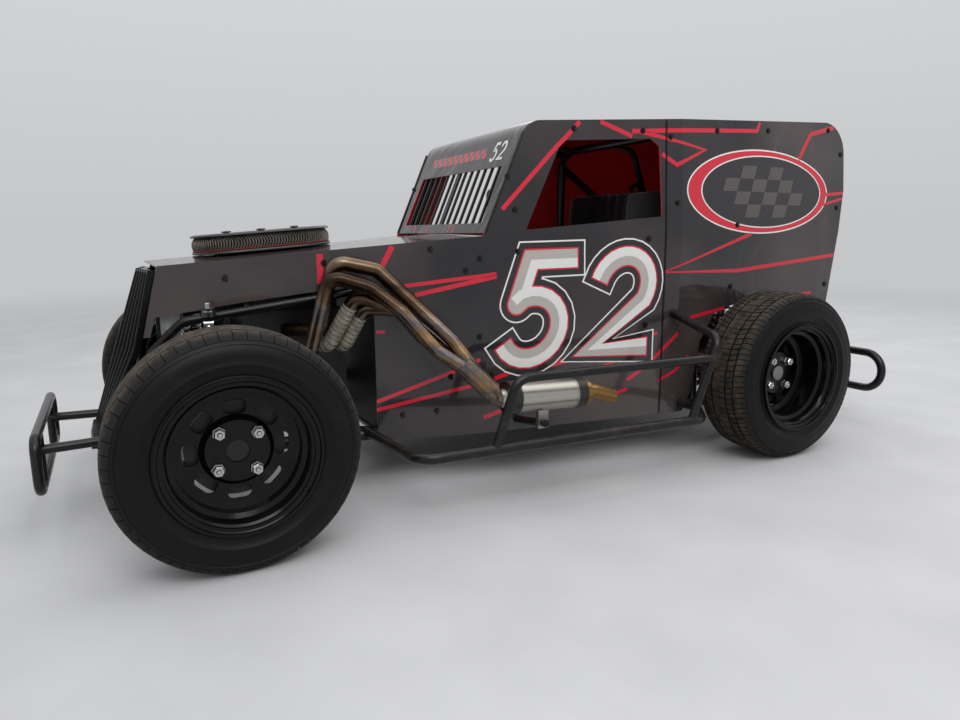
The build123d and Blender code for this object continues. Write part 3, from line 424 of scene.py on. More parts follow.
# base, seal and lid, as rows of height and growth, and the number of their material
for rows, ink in (
        ([(2, -3), (3, 0), (8, 0), (10, -3)], 2), ([(10, -4), (11, -2.5), (14, -2.5), (15, -5)], 3),
        ([(52, -9), (52.5, -2), (55, 0), (58, -2), (60, -9), (60, -30), (58.5, -36), (58.5, -80)], 2)):
    skin(pleated, [oval_ring(z, (grow,)) for z, grow in rows], finish=ink)
for u in (-105, 0, 105):
    foot = filter_middle + (filter_along * u + filter_up * 57) / 1000
    spindle(pleated, foot, foot + filter_up, [(0, 6), (2, 9), (8, 9), (10, 6)], 12, finish=2)
    bar(pleated, [foot + (filter_along * v + filter_up * 7) / 1000 for v in (-14, -5, 5, 14)], 0.0022, 6, 2)
filter_piece = piece("filter", pleated, "chassis", coated("gauze_black", "0c0c0c", "17150f", 0.75),
                     coated("gauze_crest", "6a645b", "3a362f", 0.75, share=0.5, scale=30),
                     coated("lid_black", "151516", "3a3835", 0.36, dusty=0.1, top=1.0),
                     coated("seal_red", "6b1f1c", "3c1712", 0.5), sharp=60)
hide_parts("air_filter")

# Bare header pipes are thin mild steel, bent to shape and blued in patches by heat. They
# gather in one collector, which is clamped to the silencer.
heat, heat_in, heat_out = effect("heat_tint", {"Scale": 7}, {"Colour": "Color", "Rough": "Float"})
heat_place = put(heat, "ShaderNodeVectorMath", {0: object_place(heat), 1: (1.0, 1.0, 2.0)},
                 operation="MULTIPLY")
heat_noise = noise(heat, heat_in["Scale"], 3, heat_place.outputs[0], Roughness=0.5, Distortion=0.5)
heat_ramp = put(heat, "ShaderNodeValToRGB", {"Fac": heat_noise})
stops = heat_ramp.color_ramp.elements
stops[0].position, stops[0].color = 0.3, rgba("33281f")
stops[1].position, stops[1].color = 0.76, rgba("a88a63")
for place, code in ((0.42, "5f4c3b"), (0.52, "75675a"), (0.58, "5c5a5e"), (0.66, "866a4c")):
    stops.new(place).color = rgba(code)
heat.links.new(heat_ramp.outputs["Color"], heat_out["Colour"])
heat.links.new(mapped(heat, spotted(heat, 60, 0.4, 0.7), 0, 1, 0.18, 0.34), heat_out["Rough"])
blued_steel = finish("blued_steel", "7a6b5d", 0.3, Metallic=0.95)
blued = group(blued_steel, heat, Scale=3.6)
feed(blued_steel, "Base Color", blued["Colour"])
feed(blued_steel, "Roughness", blued["Rough"])
bump(blued_steel, group(blued_steel, rub, Scale=30, Share=0.5, Grain=700)["Height"], 0.2, 0.0003)
dress(["headers"], blued_steel)

# A cloth tape is wound round the rising legs of the rear pair of pipes, each turn lapped over
# the last.
WRAPS = [[(312, -125, 470), (334, -240, 453), (390, -302.4, 580.2)],
         [(388, -125, 475), (385, -235, 448), (422.6, -287, 547.2)]]
PIPE_BEND, TAPE, TAPE_AROUND = 38, 15, 24
TAPE_UNDER, TAPE_LAP = 21.4, 2.7


def bent(rows, bend, step=2.5):
    """Points every step along a tube's line through rows of station, y and z, in metres."""
    knots = [spot(*row) for row in rows]
    line = [knots[0]]
    for before, here, after in zip(knots, knots[1:], knots[2:]):
        into, out = (here - before).normalized(), (after - here).normalized()
        angle = into.angle(out)
        reach = bend / 1000 * math.tan(angle / 2)
        centre = here + (out - into).normalized() * bend / 1000 / math.cos(angle / 2)
        start = here - into * reach
        axis = into.cross(out).normalized()
        turns = max(4, int(angle * bend / step))
        line += [centre + Quaternion(axis, angle * k / turns) @ (start - centre) for k in range(turns + 1)]
    line.append(knots[-1])
    filled = [line[0]]
    for a, b in zip(line, line[1:]):
        parts = max(1, round((b - a).length * 1000 / step))
        filled += [a.lerp(b, k / parts) for k in range(1, parts + 1)]
    return filled


wound = bmesh.new()
laps = []
for rows in WRAPS:
    rings, way, last = [], 0, None
    for point, side, up in carried(bent(rows, PIPE_BEND)):
        way += (point - last).length * 1000 if last else 0
        last = point
        ring = []
        for k in range(TAPE_AROUND):
            a = 2 * math.pi * k / TAPE_AROUND
            lap = (way / TAPE + k / TAPE_AROUND) % 1
            r = (TAPE_UNDER + TAPE_LAP * lap ** 0.7) / 1000
            ring.append(point + r * (math.cos(a) * side + math.sin(a) * up))
            laps.append(lap)
        rings.append(ring)
    skin(wound, rings)
tape_cloth = finish("tape_cloth", "9c958a", 0.95, Sheen_Weight=0.2)
# The darker colour of the step faces, where each turn laps over the last, is painted shade under the lap.
tape_edge = finish("tape_edge", "5f584d", 0.95, Specular_IOR_Level=0.2)
tape_dirt = spotted(tape_cloth.node_tree, 45, 0.35, 0.62, 6)
tape_fine = spotted(tape_cloth.node_tree, 500, detail=2)
feed(tape_cloth, "Base Color", tint(tape_cloth, tape_dirt, "7d7466",
                                    tint(tape_cloth, tape_fine, "b0aba0", "8f897c")))
bump(tape_cloth, tape_fine, 0.6, 0.0006)
wound.verts.index_update()
# Faces across a lap's step take the painted shade under the lap.
for face in wound.faces:
    shares = [laps[v.index] for v in face.verts]
    face.material_index = int(max(shares) - min(shares) > 0.5)
tape_piece = piece("header_tape", wound, "chassis", tape_cloth, tape_edge, sharp=70)
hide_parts("wrapped_headers")

# A black rubber hose runs from the top of the radiator to the head, with a clamp at each end.
HOSE_R, CLAMP_T = 21, 1.2
hose = bmesh.new()
hose_line = bent([(-70, -35, 562), (10, -35, 578), (146, -35, 571)], 60)
bar(hose, hose_line, HOSE_R / 1000, 20)
for near, far in ((hose_line[2], hose_line[8]), (hose_line[-8], hose_line[-2])):
    bar(hose, [near, far], (HOSE_R + CLAMP_T) / 1000, 20, 1)
hose_rubber = finish("hose_rubber", "121213", 0.6, Specular_IOR_Level=0.3)
bump(hose_rubber, group(hose_rubber, rub, Scale=20, Share=0.4, Grain=900)["Height"], 0.3, 0.0003)
hose_piece = piece("radiator_hose", hose, "chassis", hose_rubber,
                   coated("clamp_steel", "a3a19c", "6d6a65", 0.35, Metallic=0.9))

# The silencer is a polished can with black end bands, a gold cone and a turned-down outlet.
# Thin bright rings stand inside the bands, and a clamp holds the can to the collector.
CAN_FRONT, CAN_REAR, CAN_R = Vector((at(783), -0.54, 0.304)), Vector((at(1058), -0.54, 0.291)), 48
CAN_END = 1052
polished = coated("polished_can", "b3afa6", "857e73", 0.3, share=0.3, dusty=0.2, Metallic=1.0)
dress(["muffler"], polished, coated("cone_gold", "8f6f42", "54402a", 0.28, share=0.4, Metallic=0.95))
paint(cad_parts["muffler"].data, lambda face: face.center.x > at(CAN_END))
bands = bmesh.new()
for near, wide, grow in ((0, 34, 1.6), (241, 34, 1.6), (36, 3, 2.2), (236, 3, 2.2)):
    spindle(bands, CAN_FRONT, CAN_REAR, [(near, CAN_R - 3), (near, CAN_R + grow), (near + wide, CAN_R + grow),
                                         (near + wide, CAN_R - 3)], 48, finish=int(wide < 5))
clamp = CAN_FRONT - (CAN_REAR - CAN_FRONT).normalized() * 0.022
spindle(bands, clamp, CAN_FRONT, [(0, 25), (0, 29), (16, 29), (16, 25)], 32, finish=1)
band_piece = piece("silencer_bands", bands, "chassis", coated("band_black", "121213", "2d2a27", 0.4),
                   polished)

# The sheets of the body are thin steel covered in a printed gloss film, charcoal outside over
# red-painted backs. They are a little uneven, and bolted to the cage.
BODY_SHEETS = ["roof", "tail_panel", "windshield_panel", "hood",
               *both("cowl_side", "side_panel", "quarter_panel")]
INSIDE, INWARD = Vector((0.25, 0, 0.72)), 0.12
film = finish("charcoal_film", "242024", 0.3, Specular_IOR_Level=0.2, Coat_Weight=0.75, Coat_Roughness=0.06)
film_tree = film.node_tree
film_tone = spotted(film_tree, 1.6, 0.38, 0.66, 2)
film_dust = group(film, dust, Top=0.5, Amount=0.14, Scale=9)["Dust"]
feed(film, "Base Color", tint(film, film_dust, tint(film, film_tone, "1c191c", "433a39"), "6b6058"))
feed(film, "Roughness", mapped(film_tree, group(film, rub, Scale=14, Share=0.42)["Rubbed"], 0, 1, 0.22, 0.42))
bump(film, noise(film_tree, 2.6, 3, Distortion=1.0), 0.6, 0.045)
dress(BODY_SHEETS, film, coated("red_back", "dc2528", "9c181b", 0.38, share=0.35, Coat_Weight=0.3))
for name in BODY_SHEETS:
    paint(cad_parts[name].data, lambda face: name != "hood" and (
        face.normal.dot(INSIDE - face.center) > INWARD * (INSIDE - face.center).length))

# Thin red stripes are printed on the film. Each is a band along a line of station, height, on
# the side sheets, the same on both sides of the car.
SIDE_ROWS = [(-123, 152), (809, 372), (1527, 470), (2428, 440)]
BELT, TOP, TUMBLE = 790, 1239.74, 26
FILM_T = 0.35


def half_width(s, z=0):
    """How far out the body's side stands at a station and height."""
    lean = TUMBLE * max(0, z - BELT) / (TOP - BELT)
    for (s0, h0), (s1, h1) in zip(SIDE_ROWS, SIDE_ROWS[1:]):
        if s <= s1 or s1 == SIDE_ROWS[-1][0]:
            return h0 + (h1 - h0) * (s - s0) / (s1 - s0) - lean


def band(line, wide, left=1, right=1, ends=(0, 0)):
    """The outline of a stripe: a line of s, z widened to both sides, with mitred corners."""
    rows = [Vector(p) for p in line]
    rows[0] += (rows[0] - rows[1]).normalized() * ends[0]
    rows[-1] += (rows[-1] - rows[-2]).normalized() * ends[1]
    edges = [[], []]
    for i, here in enumerate(rows):
        ways = [(b - a).normalized() for a, b in zip(rows, rows[1:])][max(0, i - 1):i + 1]
        along = sum(ways, Vector((0, 0))).normalized()
        across = Vector((-along.y, along.x))
        stretch = 1 / max(0.55, across.dot(Vector((-ways[0].y, ways[0].x))))
        edges[0].append(here + across * wide * left * stretch)
        edges[1].append(here - across * wide * right * stretch)
    return edges


def strips(edges):
    """The quads between the two edges of a band."""
    over, under = edges
    return list(zip(over, over[1:], under[1:], under))


def laid(bm, outlines, lift, side, finish=0):
    """Lays outlines of s, z on a side of the body, folded where the side sheets fold."""
    flat = bmesh.new()
    for outline in outlines:
        flat.faces.new([flat.verts.new((p[0], 0, p[1])) for p in outline])
    bmesh.ops.remove_doubles(flat, verts=flat.verts, dist=0.05)
    folds = [((s, 0, 0), (1, 0, 0)) for s, _ in SIDE_ROWS[1:3]] + [((0, 0, BELT), (0, 0, 1))]
    for place, way in folds:
        bmesh.ops.bisect_plane(flat, geom=flat.verts[:] + flat.edges[:] + flat.faces[:], plane_co=place,
                               plane_no=way)
    bmesh.ops.triangulate(flat, faces=flat.faces[:])
    placed = {v: bm.verts.new(spot(v.co.x, side * (half_width(v.co.x, v.co.z) + lift), v.co.z))
              for v in flat.verts}
    for f in flat.faces:
        corners = [placed[v] for v in f.verts]
        if (f.normal.y < 0) != (side < 0):
            corners.reverse()
        bm.faces.new(corners).material_index = finish
    flat.free()


def decal(name, bm, *materials):
    """A printed film, laid as it is, with its faces already outwards."""
    made = built(name, bm, *materials)
    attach(made, "chassis")


def printed(name, code):
    """Gloss print with the film's own dust and rub."""
    return coated(name, code, [c * 0.75 for c in rgba(code)[:3]], 0.26, share=0.34, dusty=0.12,
                  grain=400, Specular_IOR_Level=0.2, Coat_Weight=0.75, Coat_Roughness=0.06)


stripe_red = printed("stripe_red", "c21930")
# half width in mm, then the line's points of station, height
STRIPES = [
    (7, [(1331, 1117), (1902, 1150), (1916, 1180)]),
    (7, [(1360, 1117), (1635, 1069), (1506, 1014), (1446, 1048)]),
    (7, [(1214, 1142), (1331, 1101)]), (8, [(2350, 1191), (2209, 1157), (2140, 1058)]),
    (6, [(2312, 931), (2424, 940)]), (5, [(2284, 890), (2421, 918)]),
    (7, [(1880, 781), (1456, 653), (1822, 648), (2383, 693)]), (6, [(1586, 489), (1760, 513)]),
    (7, [(2139, 538), (2254, 545)]), (9, [(318, 733), (317, 645)]), (8, [(526, 752), (493, 690)]),
    (6, [(555, 632), (845, 663)]), (7, [(591, 604), (845, 656)]), (6, [(467, 276), (710, 360)]),
    (6, [(466, 250), (760, 308)]), (5, [(471, 495), (498, 494)]), (6, [(760, 383), (790, 391)]),
    (7, [(838, 327), (888, 342)]), (9, [(1030, 358), (1186, 385)]), (6, [(1391, 431), (1443, 442)]),
    (6, [(1530, 437), (1415, 337), (1329, 283)]), (6, [(1218, 334), (1287, 357)]),
    (6, [(1000, 214), (1150, 240), (1245, 228), (1330, 252)]), (7, [(800, 200), (905, 232), (985, 214)]),
    (5, [(1585, 352), (1520, 300), (1455, 270)]), (7, [(1140, 1139), (1085, 1084), (1056, 1058), (866, 862)])]
striped = bmesh.new()
for side in (-1, 1):
    for wide, line in STRIPES:
        laid(striped, strips(band(line, wide)), FILM_T, side)
decal("red_stripes", striped, stripe_red)

# A black edge trim covers the joint between the side panel and the quarter panel, and rubber
# beads seal the side edges of the windshield's sheet.
SEAM, TRIM, BEAD_R = 1463, 3, 3.5
seam_trim = bmesh.new()
for side in (-1, 1):
    laid(seam_trim, strips(band([(SEAM, 152), (SEAM, 1158)], TRIM)), FILM_T * 6, side)
    bar(seam_trim, [spot(808, side * 372, 791), spot(942, side * 373, 1099)], BEAD_R / 1000, 8)
decal("seam_trim", seam_trim, tube_black)

# A race number in silver fills the door on each side. Each stroke is shaded light and dark
# like a chisel cut, with a red edge, a dark gap and a white keyline round it.
DIGIT_W, DIGIT_H, DIGIT_FOOT, DIGIT_SLANT = 268, 340, 382, 0.14
LEFT_DIGIT, RIGHT_DIGIT = 845, 1160
# half width of each layer and how far its ends pass the line's: keyline, gap and red edge
EDGES = ((59, 29), (54, 24), (35, 5))
FACE, PLY = 30, 0.02


def arc(cx, cz, rx, rz, start=0, stop=360, count=16):
    """Points on an oval arc, from one angle to the other."""
    angles = [math.radians(start + (stop - start) * k / count) for k in range(count + 1)]
    return [(cx + rx * math.cos(a), cz + rz * math.sin(a)) for a in angles]


# the strokes of each digit, in shares of its width and height
JOINT = (0.25, 0.53)
FIVE = [[(0.97, 0.96), (0.36, 0.95), JOINT], [JOINT] + arc(0.47, 0.31, 0.38, 0.30, 112, -150)]
TWO = [arc(0.50, 0.67, 0.36, 0.30, 168, -28) + [(0.12, 0.05), (0.97, 0.05)]]
STROKES = [(LEFT_DIGIT, stroke) for stroke in FIVE] + [(RIGHT_DIGIT, stroke) for stroke in TWO]
white_line, gap_dark = printed("keyline_white", "dcdad6"), printed("gap_dark", "221e22")
check_grey = printed("check_grey", "4c4644")
silver_light, silver_dark = printed("silver_light", "d3d3d0"), printed("silver_dark", "a8a39d")
number = bmesh.new()
for side in (-1, 1):
    for order, (start, stroke) in enumerate(STROKES):
        line = [(start + u * DIGIT_W + DIGIT_SLANT * (v - 0.5) * DIGIT_H, DIGIT_FOOT + v * DIGIT_H)
                for u, v in stroke]
        if side > 0:
            line = [(LEFT_DIGIT + RIGHT_DIGIT + DIGIT_W - s, z) for s, z in line]
        joined = stroke[0] == JOINT
        for ink, (wide, past) in enumerate(EDGES):
            lift = FILM_T * (ink + 2)
            ends = (0 if joined else past, 0 if stroke[-1] == JOINT else past)
            laid(number, strips(band(line, wide, ends=ends)), lift + 2 * PLY * order, side, ink)
            if joined:
                laid(number, [arc(*line[0], wide, wide, count=28)[:-1]], lift + PLY, side, ink)
        if joined:
            laid(number, [arc(*line[0], FACE, FACE, count=28)[:-1]], FILM_T * 5 - PLY, side, 4)
        for ink, left in ((3, side < 0), (4, side > 0)):
            half = strips(band(line, FACE, int(left), int(not left)))
            laid(number, half, FILM_T * 5 + 2 * PLY * order, side, ink)
decal("race_number", number, white_line, gap_dark, stripe_red, silver_light, silver_dark)

# A small plain number, a checker ribbon and a few red dashes are printed on the sheet round the
# windshield's opening.
SHIELD_FOOT, SHIELD_RISE = spot(809, 0, 790), Vector((150, 0, 345)).normalized()
SHIELD_OUT = Vector((-SHIELD_RISE.z, 0, SHIELD_RISE.x))
SMALL_W, SMALL_H, SMALL_FOOT, SMALL_SLANT = 40.2, 62, 254, 8.04
RIBBON_Y, RIBBON_UP, RIBBON_W, RIBBON_H, RIBBON_SLANT = 268, 268, 22, 18, 3


def shield_print(bm, outlines, lift, finish):
    """Lays outlines of y and distance up the slope on the windshield's sheet."""
    for outline in outlines:
        made = bm.faces.new([bm.verts.new(SHIELD_FOOT + (
            SHIELD_RISE * up + SHIELD_OUT * lift + Vector((0, y, 0))) / 1000) for y, up in outline])
        made.normal_update()
        if made.normal.dot(SHIELD_OUT) < 0:
            made.normal_flip()
        made.material_index = finish


shield_art = bmesh.new()
for shape, start in ((FIVE, -206), (TWO, -256)):
    for stroke in shape:
        line = [(start - (u * SMALL_W + SMALL_SLANT * v), SMALL_FOOT + v * SMALL_H) for u, v in stroke]
        shield_print(shield_art, strips(band(line, 8, ends=(2, 2))), FILM_T, 1)
        shield_print(shield_art, strips(band(line, 5)), FILM_T * 2, 2)
for i in range(20):
    for j in range(2):
        square = [(RIBBON_Y - RIBBON_W * (i + a) - RIBBON_SLANT * b, RIBBON_UP + RIBBON_H * (j + b))
                  for a, b in ((0, 0), (1, 0), (1, 1), (0, 1))]
        shield_print(shield_art, [square], FILM_T, 0 if (i + j) % 2 else 3)
for y, lean in ((262, 3), (205, -4), (96, 5), (-92, 3), (-128, 3)):
    shield_print(shield_art, strips(band([(y, 5), (y - lean, 31)], 4)), FILM_T, 0)
decal("windshield_print", shield_art, stripe_red, gap_dark, silver_light, check_grey)

# The quarter panels carry an oval with a white and red rim and a slanted checker pattern.
OVAL_S, OVAL_Z, OVAL_RS, OVAL_RZ, OVAL_SHIFT = 1935, 933, 386, 152, 12
CHECK_S, CHECK_Z, CHECK_SLANT = 74, 46, 0.35
# share of the oval's length and height, shift back, material
OVALS = [(1, 1, 0, 0), (0.985, 0.965, 0, 2), (0.855, 0.86, OVAL_SHIFT, 0), (0.84, 0.83, OVAL_SHIFT, 1)]
oval_art = bmesh.new()
for side in (-1, 1):
    for layer, (long, high, shift, ink) in enumerate(OVALS):
        outline = arc(OVAL_S + shift, OVAL_Z, OVAL_RS * long, OVAL_RZ * high, count=72)[:-1]
        laid(oval_art, [outline], FILM_T * (layer + 1), side, ink)
    squares = []
    for i in range(-6, 7):
        for j in range(-4, 5):
            corners = [(CHECK_S * (i + a) + CHECK_SLANT * CHECK_Z * (j + b), CHECK_Z * (j + b))
                       for a, b in ((0, 0), (1, 0), (1, 1), (0, 1))]
            inside = all((u / (OVAL_RS * 0.83)) ** 2 + (v / (OVAL_RZ * 0.82)) ** 2 < 1 for u, v in corners)
            if (i + j) % 2 and inside:
                squares.append([(OVAL_S + OVAL_SHIFT + u, OVAL_Z + v) for u, v in corners])
    laid(oval_art, squares, FILM_T * 5, side, 3)
decal("oval_panel", oval_art, white_line, gap_dark, stripe_red, check_grey)

# Button-head bolts with wide washers hold the sheets to tabs on the cage. They are set along
# the edges of each sheet.


def pattern(name, inputs):
    """An empty geometry tree with named inputs: name, kind, default."""
    tree = bpy.data.node_groups.new(name, "GeometryNodeTree")
    for label, kind, value in [("Geometry", "Geometry", None)] + inputs + [("Finish", "Material", None)]:
        made = tree.interface.new_socket(label, in_out="INPUT", socket_type="NodeSocket" + kind)
        if value is not None:
            made.default_value = value
    tree.interface.new_socket("Geometry", in_out="OUTPUT", socket_type="NodeSocketGeometry")
    entry, leave = tree.nodes.new("NodeGroupInput"), tree.nodes.new("NodeGroupOutput")
    return tree, entry.outputs, leave.inputs


def spread(tree, points, instance, finish, **more):
    """Copies of an instance on points, made real and given a material."""
    placed = put(tree, "GeometryNodeInstanceOnPoints", {"Points": points, "Instance": instance, **more})
    real = put(tree, "GeometryNodeRealizeInstances", {0: placed.outputs[0]})
    return put(tree, "GeometryNodeSetMaterial", {"Geometry": real.outputs[0], "Material": finish}).outputs[0]


def patterned(name, bm, tree, body, slot, **values):
    """A mesh run through a geometry tree, kept as a plain mesh that rides on a body."""
    made = built(name, bm)
    modifier = made.modifiers.new(name, "NODES")
    modifier.node_group = tree
    for socket in tree.interface.items_tree:
        if socket.in_out == "INPUT" and socket.name.replace(" ", "_") in values:
            modifier[socket.identifier] = values[socket.name.replace(" ", "_")]
    plain = bpy.data.meshes.new_from_object(made.evaluated_get(bpy.context.evaluated_depsgraph_get()))
    made.modifiers.clear()
    made.data = plain
    smooth(plain, 32)
    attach(made, body)


fasten, fasten_in, fasten_out = pattern("set_fasteners", [
    ("Sides", "Int", 6), ("Head", "Float", 0.006), ("Height", "Float", 0.004), ("Washer", "Float", 0.011),
    ("Turn", "Vector", (0, 0, 0))])
WASHER_T = 0.0016
head_mesh = put(fasten, "GeometryNodeMeshCylinder", {
    "Vertices": fasten_in["Sides"], "Radius": fasten_in["Head"], "Depth": fasten_in["Height"]})
head_lift = put(fasten, "ShaderNodeCombineXYZ", {"Z": maths(fasten, "MULTIPLY", fasten_in["Height"], 0.5)})
head_up = put(fasten, "GeometryNodeTransform", {
    "Geometry": head_mesh.outputs["Mesh"], "Translation": head_lift.outputs[0]})
washer_mesh = put(fasten, "GeometryNodeMeshCylinder", {
    "Vertices": 20, "Radius": fasten_in["Washer"], "Depth": WASHER_T})
bolt = put(fasten, "GeometryNodeJoinGeometry")
for part in (head_up.outputs[0], washer_mesh.outputs["Mesh"]):
    fasten.links.new(part, bolt.inputs[0])
fasten.links.new(spread(fasten, fasten_in["Geometry"], bolt.outputs[0], fasten_in["Finish"],
                        Rotation=fasten_in["Turn"]), fasten_out["Geometry"])

bolt_black = coated("bolt_black", "131314", "4a4845", 0.35, share=0.4, Metallic=0.4)
PANEL_BOLTS = [
    (1373, 1120), (1694, 1137), (1481, 1105), (1962, 1154), (2316, 1177), (2400, 1090), (1510, 887),
    (2385, 881), (1803, 813), (2340, 577), (1784, 591), (910, 861), (1119, 1116), (1396, 767), (1393, 473),
    (918, 731), (748, 675), (792, 712), (697, 342), (545, 228), (651, 234), (826, 340), (790, 466),
    (886, 962), (60, 668), (330, 706), (640, 742)]
BOLT_LIFT = 0.6
for side, label in ((-1, "left"), (1, "right")):
    points = bmesh.new()
    for s, z in PANEL_BOLTS:
        points.verts.new(spot(s, side * (half_width(s, z) + BOLT_LIFT), z))
    patterned(f"panel_bolts_{label}", points, fasten, "chassis", "black_tube", Sides=12, Head=0.0058,
              Height=0.0045, Washer=0.0105, Turn=(math.radians(-90 * side), 0, 0), Finish=bolt_black)

# The tyres are broad road tyres run on dirt and asphalt: clean black walls, and a tread of ribs
# and blocks, brown with dust on top.
FRONT_AXLE, REAR_AXLE, AXLE_Z, TYRE_R = at(0), at(1854), 0.29, 290
TREAD_FOOT, GROOVE, SUNK = 0.2735, 7.5, 0.6


def mottled(material, under, over, scale, low=0.3, high=0.7, detail=3):
    """A base colour that turns from under to over in spots."""
    return tint(material, spotted(material.node_tree, scale, low, high, detail), under, over)


wall_rubber = coated("wall_rubber", "0c0c0d", "171616", 0.42, share=0.42, dusty=0.03, top=0.3, grain=1600,
                     Specular_IOR_Level=0.16)
tread_dust = finish("tread_dust", "2e2822", 0.85, Specular_IOR_Level=0.3)
tread_tree = tread_dust.node_tree
tread_side = put(tread_tree, "ShaderNodeSeparateXYZ", {
    0: put(tread_tree, "ShaderNodeTexCoord").outputs["Normal"]})
tread_shoulder = mapped(tread_tree, maths(tread_tree, "ABSOLUTE", tread_side.outputs["Y"]), 0.3, 0.72)
feed(tread_dust, "Base Color", tint(
    tread_dust, tread_shoulder, mottled(tread_dust, "1f1c1a", "4a3f33", 40, 0.35, 0.7, 8), "151515"))
bump(tread_dust, spotted(tread_tree, 700, detail=2), 0.5, 0.0006)
groove_black = finish("groove_black", "0f0e0d", 0.85, Specular_IOR_Level=0.2)
feed(groove_black, "Base Color", mottled(groove_black, "0f0e0d", "2a231c", 50, 0.4, 0.8, 4))


def wheel_point(end, side, depth, r, a):
    """A point of a wheel: depth inboard of its outer face, radius and angle about the axle."""
    x, face = (FRONT_AXLE, 712) if end == "front" else (REAR_AXLE, 742)
    return Vector((x + r / 1000 * math.sin(a), side * (face - depth) / 1000, AXLE_Z + r / 1000 * math.cos(a)))


around_axle, axle_in, axle_out = pattern("set_around_axle", [
    ("Count", "Int", 12), ("Axle", "Vector", (0, 0, 0)), ("Start", "Float", 0),
    ("Groove Finish", "Material", None)])
axle_points = put(around_axle, "GeometryNodePoints", {"Count": axle_in["Count"], "Position": axle_in["Axle"]})
axle_angle = maths(around_axle, "MULTIPLY_ADD", put(around_axle, "GeometryNodeInputIndex").outputs[0],
                   maths(around_axle, "DIVIDE", 2 * math.pi, axle_in["Count"]), axle_in["Start"])
axle_turn = put(around_axle, "ShaderNodeCombineXYZ", {"Y": axle_angle})
axle_join = put(around_axle, "GeometryNodeMergeByDistance", {
    "Geometry": spread(around_axle, axle_points.outputs[0], axle_in["Geometry"], axle_in["Finish"],
                       Rotation=axle_turn.outputs[0]), "Distance": 0.00002})
axle_groove = put(around_axle, "GeometryNodeInputNamedAttribute", {"Name": "groove"}, data_type="INT")
axle_walls = put(around_axle, "GeometryNodeSetMaterial", {
    "Geometry": axle_join.outputs[0], "Selection": axle_groove.outputs[0],
    "Material": axle_in["Groove Finish"]})
around_axle.links.new(axle_walls.outputs[0], axle_out["Geometry"])


def lug(length, *starts):
    """A block whose rows all go so far round, from the share and depth where each starts."""
    return [((u, d), (u + length, d)) for u, d in starts]


def paired(width, *blocks):
    """Blocks, and their mirror images on the other side of the tread."""
    return [*blocks, *([((ub, width - db), (ua, width - da)) for (ua, da), (ub, db) in b] for b in blocks)]


# A block is rows across it of share round the pitch and depth, from one end to the other, as two
# corners a row. Of a tyre: width, tread width, number of pitches, then the blocks of one pitch.
TYRES = {
    "front": (190, 150, 58, [
        [((0, 82), (0, 108)), ((0.5, 78.5), (0.5, 111.5)), ((1, 82), (1, 108))],
        *paired(190, [((0, 50), (0, 76)), ((0.5, 54), (0.5, 80)), ((1, 50), (1, 76))],
                lug(0.94, (0.02, 46), (0.02, 36), (0.02, 27), (0.02, 20)) + lug(0.92, (0.03, 15)))]),
    "rear": (216, 186, 48, [
        [((0.03, 82), (0.03, 134)), ((0.47, 82), (0.47, 134))],
        [((0.47, 110), (0.47, 134)), ((0.53, 110), (0.53, 134))],
        [((0.53, 82), (0.53, 134)), ((0.97, 82), (0.97, 134))],
        *paired(216, lug(0.38, (0.06, 76), (0.22, 50)), lug(0.44, (0.52, 76), (0.68, 50)),
                lug(0.44, (0.26, 44), (0.32, 30), (0.34, 20), (0.34, 12)),
                lug(0.42, (0.78, 44), (0.84, 30), (0.86, 20), (0.86, 12)))])}


def crown(depth, width, tread):
    """Radius of the tread's top across the tyre."""
    share = abs(depth - width / 2) / (tread / 2)
    return TYRE_R - 1.2 * share ** 2 - 11 * max(0, (share - 0.74) / 0.26) ** 2


